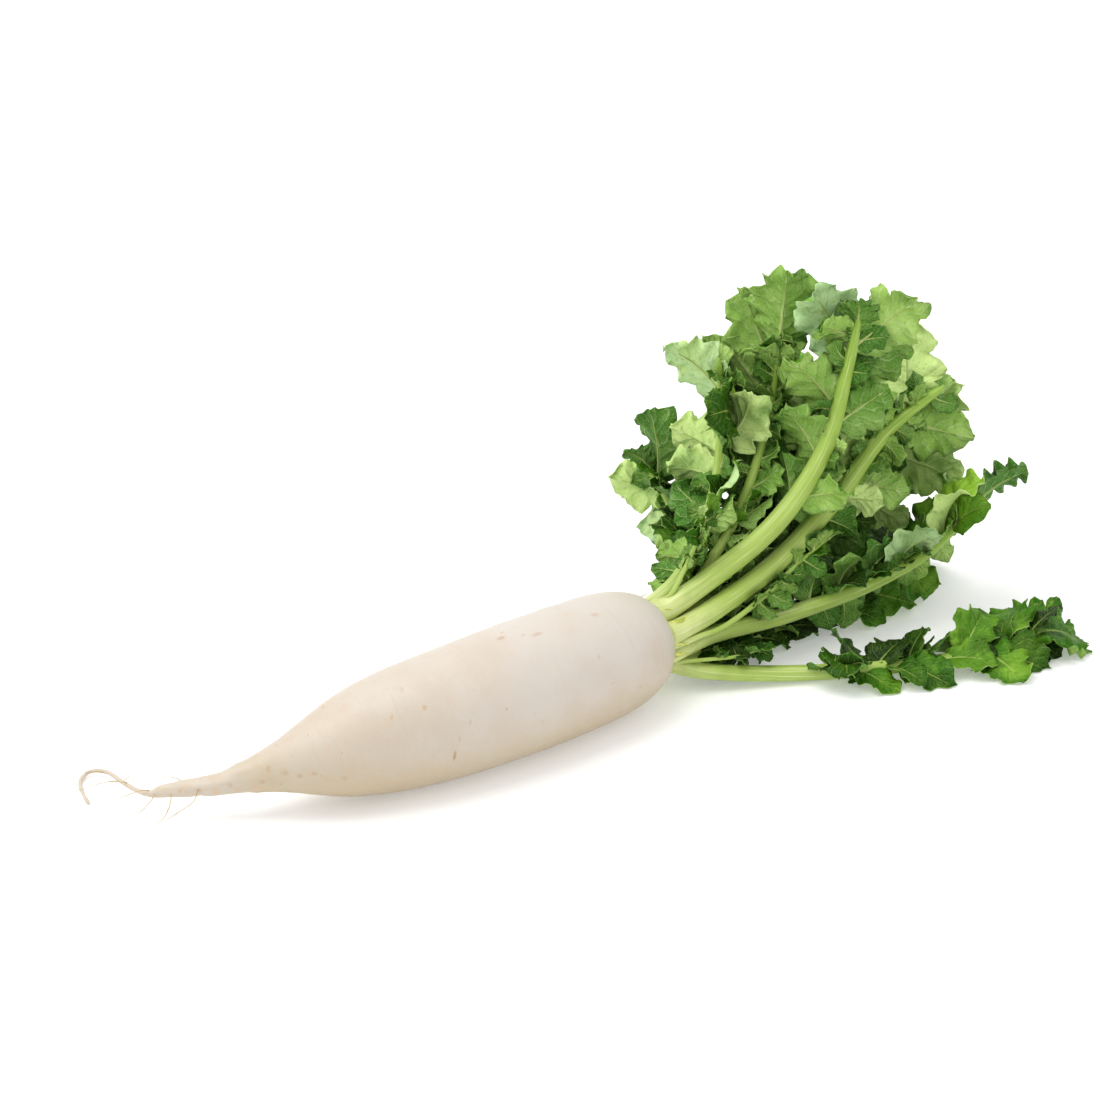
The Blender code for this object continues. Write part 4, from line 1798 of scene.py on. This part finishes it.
@dataclass(frozen=True)
class Foliage:
    """The leaves with their stems, ribs and blades.

    The grids are the blade's segments along each tooth and across. Small leaflets and those near the
    table have their tint scaled down, so that most have the deepest green; for the small ones, which
    fill the inside of the bunch, the deeper green is painted shade.
    """

    root: RootShape
    stem_skin: StemSkin
    upper_skin: BladeSkin
    under_skin: BladeSkin
    growth: Growth = Growth()
    relief: StemRelief = StemRelief()
    rib: Rib = Rib()
    tube: Tube = Tube(24, 96)
    gap: float = 0.4
    straight_foot: float = 8.0
    steps: int = 60
    tip_share: float = 0.33
    taper: float = 3.0
    sunk: float = 1.6
    shift_step: float = 1.7
    lowest: float = 0.2
    blade_thickness: float = 0.42
    grid: tuple[int, int] = (10, 12)
    small_grid: tuple[int, int] = (8, 8)
    crowding: float = 1.3
    small_leaflet: float = 31.0
    # Painted shade: small leaflets fill the inside of the bunch and get deeper greens.
    small_shade_tint: float = 0.42
    low_height: float = 34.0
    low_tint: float = 0.60
    tint_seed: int = 77

    def spine(self, leaf: Leaf) -> Spine:
        """Runs a leaf's stem squarely out of the crown and along its route.

        Args:
            leaf: The leaf.

        Returns:
            The stem's line, whose upper face looks toward the crown's middle at its foot.
        """
        radius, height = leaf.whorl.value
        angle = math.radians(leaf.slot)
        foot, outward, out = self.root.over_crown(angle, radius, height + self.gap)
        route = [foot + out * self.straight_foot, *(Vector(point) for point in leaf.route)]
        return Spine([foot, *even_path(route, self.steps - 1)], -outward, leaf.turn)

    def stem_radius(self, leaf: Leaf, place: float) -> float:
        """The solid stem's radius at a place along it."""
        return leaf.foot_radius * (1 - (1 - self.tip_share) * place**self.taper)

    def build(self) -> list[bpy.types.Object]:
        """Grows and shows every leaf.

        Returns:
            Two pieces for each leaf: its stem with the ribs, and its blades.
        """
        spines = {leaf.name: self.spine(leaf) for leaf in LEAVES + YOUNG}
        settings = self.grow(spines)
        stem_paint = self.stem_skin.material()
        blade_paints = [self.upper_skin.material(), self.under_skin.material()]
        pieces = []
        for leaf in LEAVES + YOUNG:
            every = settings[leaf.name]
            nodes = [leaf.name] if leaf in LEAVES else []
            pieces.append(self.stem_piece(leaf, spines[leaf.name], every, stem_paint, nodes))
            pieces.append(self.blade_piece(leaf, every, blade_paints, nodes))
        return pieces

    def grow(self, spines: dict[str, Spine]) -> dict[str, list[Setting]]:
        """Grows the leaflets of every leaf, each clear of what has grown before.

        Args:
            spines: The stems' lines, by the leaves' names.

        Returns:
            The leaflets in their places, by the leaves' names.
        """
        stems = {leaf.name: self.stem_surface(leaf, spines[leaf.name]) for leaf in LEAVES}
        thicket = Thicket()
        thicket.add(self.root.solid_tree(), self.root_reach())
        settings = {}
        for leaf in LEAVES:
            others = Thicket(thicket.trees)
            for name, (tree, points) in stems.items():
                if name != leaf.name:
                    others.add(tree, points)
            before = len(others.trees)
            settings[leaf.name] = self.growth.leaflets(leaf, spines[leaf.name], others)
            thicket.trees += others.trees[before:]
        log.info("%d leaflets of the solids", sum(len(row) for row in settings.values()))
        for tree, points in stems.values():
            thicket.add(tree, points)
        for leaf in YOUNG:
            settings[leaf.name] = self.growth.sprouts(leaf, spines[leaf.name], thicket)
        for leaf in LEAVES:
            settings[leaf.name] += self.growth.extras(leaf, spines[leaf.name], thicket)
        log.info("%d leaflets in all", sum(len(row) for row in settings.values()))
        return settings

    def stem_surface(self, leaf: Leaf, spine: Spine) -> tuple[BVHTree, list[Vector]]:
        """Draws the solid stem, for measuring distances to it.

        Args:
            leaf: The leaf.
            spine: Its stem's line.

        Returns:
            The stem's surface as a search tree, and points that it lies within.
        """
        radii = [self.stem_radius(leaf, i / (self.steps - 1)) for i in range(self.steps)]
        margin = Vector((leaf.foot_radius,) * 3)
        points = [station.point + margin * side for station in spine.stations for side in (-1, 1)]
        return spine.tree(radii), points

    def root_reach(self) -> list[Vector]:
        """Points that the root lies within."""
        rows = self.root.solid_rows()
        return [Vector(row[:3]) + Vector((row[3],) * 3) * side for row in rows for side in (-1, 1)]

    def stem_piece(
        self,
        leaf: Leaf,
        spine: Spine,
        settings: Sequence[Setting],
        paint: bpy.types.Material,
        nodes: Sequence[str],
    ) -> bpy.types.Object:
        """Builds a leaf's stem with a rib under each of its leaflets.

        Args:
            leaf: The leaf.
            spine: Its stem's line.
            settings: Its leaflets.
            paint: The stem's material.
            nodes: The solids that it stands for.

        Returns:
            The piece.
        """
        _, out = self.root.crown()
        first = spine.stations[0]
        longer = [first.point - out * self.sunk, *(station.point for station in spine.stations)]
        whole = Spine(longer, first.upper, leaf.turn)
        shift = leaf.seed * self.shift_step

        def radius(place: float, angle: float) -> float:
            """The stem's radius, with everything that shapes its skin."""
            share = self.relief.share(place, angle, whole.length_at(place), shift)
            return self.stem_radius(leaf, place) * share

        floor = self.growth.floor
        parts = [self.tube.build(whole, radius, self.lowest)]
        parts += [self.rib.build(setting, floor, self.lowest) for setting in settings]
        return show(parts, leaf.name + "_stem", [paint], nodes)

    def blade_piece(
        self,
        leaf: Leaf,
        settings: Sequence[Setting],
        paints: Sequence[bpy.types.Material],
        nodes: Sequence[str],
    ) -> bpy.types.Object:
        """Builds the blades of a leaf.

        Args:
            leaf: The leaf.
            settings: Its leaflets.
            paints: The materials of the upper and the under face.
            nodes: The solids that they stand for.

        Returns:
            The piece.
        """
        draw = random.Random(leaf.seed + self.tint_seed)
        parts = [self.blade(setting, self.tint(setting, draw)) for setting in settings]
        piece = show(parts, leaf.name + "_blades", paints, nodes)
        wall = piece.modifiers.new("thickness", "SOLIDIFY")
        wall.thickness = self.blade_thickness * MM
        wall.offset = 0.0
        wall.material_offset = 1
        wall.material_offset_rim = 1
        return piece

    def tint(self, setting: Setting, draw: random.Random) -> float:
        """Picks a leaflet's green, mostly the deepest for a small one, as painted shade inside the
        bunch, or for one near the table.

        Args:
            setting: The leaflet in its place.
            draw: Where the chances come from.

        Returns:
            Which of the greens it has, from 0 to 1.
        """
        chance = draw.random()
        # Painted shade: a small leaflet inside the bunch takes a deeper green.
        if setting.shape.length < self.small_leaflet:
            chance *= self.small_shade_tint
        if setting.placing.translation.z < self.low_height:
            chance *= self.low_tint
        return chance

    def blade(self, setting: Setting, tint: float) -> bmesh.types.BMesh:
        """Builds one leaflet's fine sheet.

        Args:
            setting: The leaflet in its place.
            tint: Which of the greens it has, from 0 to 1.

        Returns:
            The sheet, with the map "blade" and the number "tint" on it.
        """
        shape = setting.shape
        sheet = bmesh.new()
        along, across = self.small_grid if shape.length < self.small_leaflet else self.grid
        bmesh.ops.create_grid(sheet, x_segments=shape.teeth * along, y_segments=across, size=0.5)
        flat = sheet.loops.layers.uv.new("blade")
        carried = sheet.verts.layers.float.new("tint")
        for face in sheet.faces:
            for loop in face.loops:
                u, v = self.on_blade(loop.vert)
                loop[flat].uv = (u, 0.5 + 0.5 * v)
        for vertex in sheet.verts:
            vertex[carried] = tint
            point = setting.placing @ shape.fine_point(*self.on_blade(vertex))
            vertex.co = self.growth.floor.rest(point)
        return sheet

    def on_blade(self, vertex: bmesh.types.BMVert) -> tuple[float, float]:
        """A grid point's place along and across the blade, crowded toward the midrib."""
        across = vertex.co.y * 2
        return vertex.co.x + 0.5, math.copysign(abs(across) ** self.crowding, across)


@dataclass(frozen=True)
class CrownTrim:
    """The dry scales of old leaves round the crown, and the thin fibres among the stems.

    Each pair is the least and the greatest that a chance may give. The rings are distances from
    the crown's middle.
    """

    shape: RootShape
    skin: FibreSkin
    seed: int = 4
    sunk: float = 0.8
    scales: int = 30
    scale_tube: Tube = Tube(10, 12)
    scale_ring: Row = (17.5, 21.5)
    scale_stray: float = 0.1
    scale_lengths: Row = (8.0, 24.0)
    scale_leans: Row = (-0.5, 4.5)
    scale_bends: Row = (0.2, 1.6)
    scale_width: float = 1.9
    scale_widths: Row = (0.6, 1.1)
    scale_thickness: float = 0.45
    scale_loss: float = 0.9
    scale_taper: float = 1.4
    fibres: int = 22
    fibre_tube: Tube = Tube(6, 20)
    fibre_ring: Row = (12.0, 21.0)
    fibre_steps: Row = (6.0, 12.0)
    fibre_leans: Row = (-1.0, 3.0)
    fibre_radius: float = 0.28
    fibre_radii: Row = (0.7, 1.3)
    fibre_loss: float = 0.6
    sways: Row = (-4.0, 4.0)

    def build(self) -> bpy.types.Object:
        """Builds and shows the scales and the fibres.

        Returns:
            The piece.
        """
        draw = random.Random(self.seed)
        parts = [self.scale(draw, k / self.scales) for k in range(self.scales)]
        parts += [self.fibre(draw) for _ in range(self.fibres)]
        return show(parts, "crown_trim", [self.skin.material()])

    def scale(self, draw: random.Random, share: float) -> bmesh.types.BMesh:
        """Builds one pointed scale that lies against the stems' feet.

        Args:
            draw: Where the chances come from.
            share: The share of the way round the crown.

        Returns:
            The scale's skin.
        """
        angle = math.tau * share + draw.uniform(-self.scale_stray, self.scale_stray)
        ring = draw.uniform(*self.scale_ring)
        foot, outward, out = self.shape.over_crown(angle, ring, -self.sunk)
        length = draw.uniform(*self.scale_lengths)
        sway = outward.cross(out) * draw.uniform(*self.sways)
        tip = foot + out * length + outward * draw.uniform(*self.scale_leans) + sway
        bend = foot.lerp(tip, 0.5) + outward * draw.uniform(*self.scale_bends)
        width = self.scale_width * draw.uniform(*self.scale_widths)

        def radius(place: float, around: float) -> float:
            """The flat scale's radius, thinning to its tip."""
            oval = math.hypot(math.cos(around) / width, math.sin(around) / self.scale_thickness)
            return (1.0 - self.scale_loss * place**self.scale_taper) / oval

        path = even_path([foot, bend, tip], self.scale_tube.rings + 1)
        return self.scale_tube.build(Spine(path, outward), radius)

    def fibre(self, draw: random.Random) -> bmesh.types.BMesh:
        """Builds one thin fibre that curls out from among the stems.

        Args:
            draw: Where the chances come from.

        Returns:
            The fibre's skin.
        """
        angle = draw.uniform(0, math.tau)
        ring = draw.uniform(*self.fibre_ring)
        foot, outward, out = self.shape.over_crown(angle, ring, -self.sunk)
        around = outward.cross(out)
        points = [foot]
        for k in range(1, 4):
            stray = outward * draw.uniform(*self.fibre_leans) + around * draw.uniform(*self.sways)
            points.append(foot + out * (k * draw.uniform(*self.fibre_steps)) + stray * (k / 2))
        thickness = self.fibre_radius * draw.uniform(*self.fibre_radii)
        line = Spine(even_path(points, self.fibre_tube.rings + 1), outward)
        return self.fibre_tube.build(line, thread_radius(thickness, self.fibre_loss))


# The studio


@dataclass(frozen=True)
class Studio:
    """A white table under soft light, seen from a little above."""

    table: TableTop
    table_size: float = 14.0
    table_drop: float = 0.0003
    camera_place: Row = (-0.77846, -1.05674, 0.70569)
    camera_back: Row = (-0.55017177, -0.72929852, 0.40673664)
    lens: float = 85.0
    sensor: float = 36.0
    sky: float = 0.82
    key_power: float = 22.0
    key_size: float = 1.8
    key_place: Row = (-0.50, 0.45, 1.95)
    key_aim: Row = (0.1, 0.03, 0.05)

    def build(self) -> None:
        """Sets the table, the light and the camera."""
        self.lay_table()
        self.light()
        self.place_camera()

    def lay_table(self) -> None:
        """Lays the table just under the radish."""
        sheet = bmesh.new()
        bmesh.ops.create_grid(sheet, x_segments=1, y_segments=1, size=self.table_size / 2)
        bmesh.ops.translate(sheet, verts=sheet.verts, vec=(0, 0, -self.table_drop))
        mesh = bpy.data.meshes.new("table")
        sheet.to_mesh(mesh)
        sheet.free()
        mesh.materials.append(self.table.material())
        table = bpy.data.objects.new("table", mesh)
        bpy.context.scene.collection.objects.link(table)

    def light(self) -> None:
        """Lights the scene evenly all round, with one large soft lamp over the far left."""
        scene = bpy.context.scene
        world = bpy.data.worlds.new("studio_light")
        world.use_nodes = True
        background = world.node_tree.nodes["Background"]
        background.inputs["Color"].default_value = (1.0, 1.0, 1.0, 1.0)
        background.inputs["Strength"].default_value = self.sky
        scene.world = world
        data = bpy.data.lights.new("soft_lamp", "AREA")
        data.shape = "DISK"
        data.size = self.key_size
        data.energy = self.key_power
        lamp = bpy.data.objects.new("soft_lamp", data)
        lamp.location = self.key_place
        back = Vector(self.key_place) - Vector(self.key_aim)
        lamp.rotation_euler = back.to_track_quat("Z", "Y").to_euler()
        scene.collection.objects.link(lamp)
        scene.view_settings.view_transform = "Standard"
        scene.view_settings.look = "Medium High Contrast"

    def place_camera(self) -> None:
        """Places the camera."""
        data = bpy.data.cameras.new("camera")
        data.lens = self.lens
        data.sensor_width = self.sensor
        camera = bpy.data.objects.new("camera", data)
        camera.location = self.camera_place
        camera.rotation_euler = Vector(self.camera_back).to_track_quat("Z", "Y").to_euler()
        bpy.context.scene.collection.objects.link(camera)
        bpy.context.scene.camera = camera


def main() -> None:
    """Builds the radish and its studio, and reports each piece."""
    logging.basicConfig(level=logging.INFO, format="%(message)s")
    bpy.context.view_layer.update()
    shape = RootShape()
    pieces = [RootPiece(shape, RootSkin()).build(), Rootlets(shape, ROOTLET_SKIN).build()]
    pieces += Foliage(shape, StemSkin(), UPPER_FACE, UNDER_FACE).build()
    pieces.append(CrownTrim(shape, SCALE_SKIN).build())
    for piece in pieces:
        log.info("%s: %d faces", piece.name, len(piece.data.polygons))
    Studio(TableTop()).build()
    log.info("studio: table, light and camera")


if __name__ == "__main__":
    main()
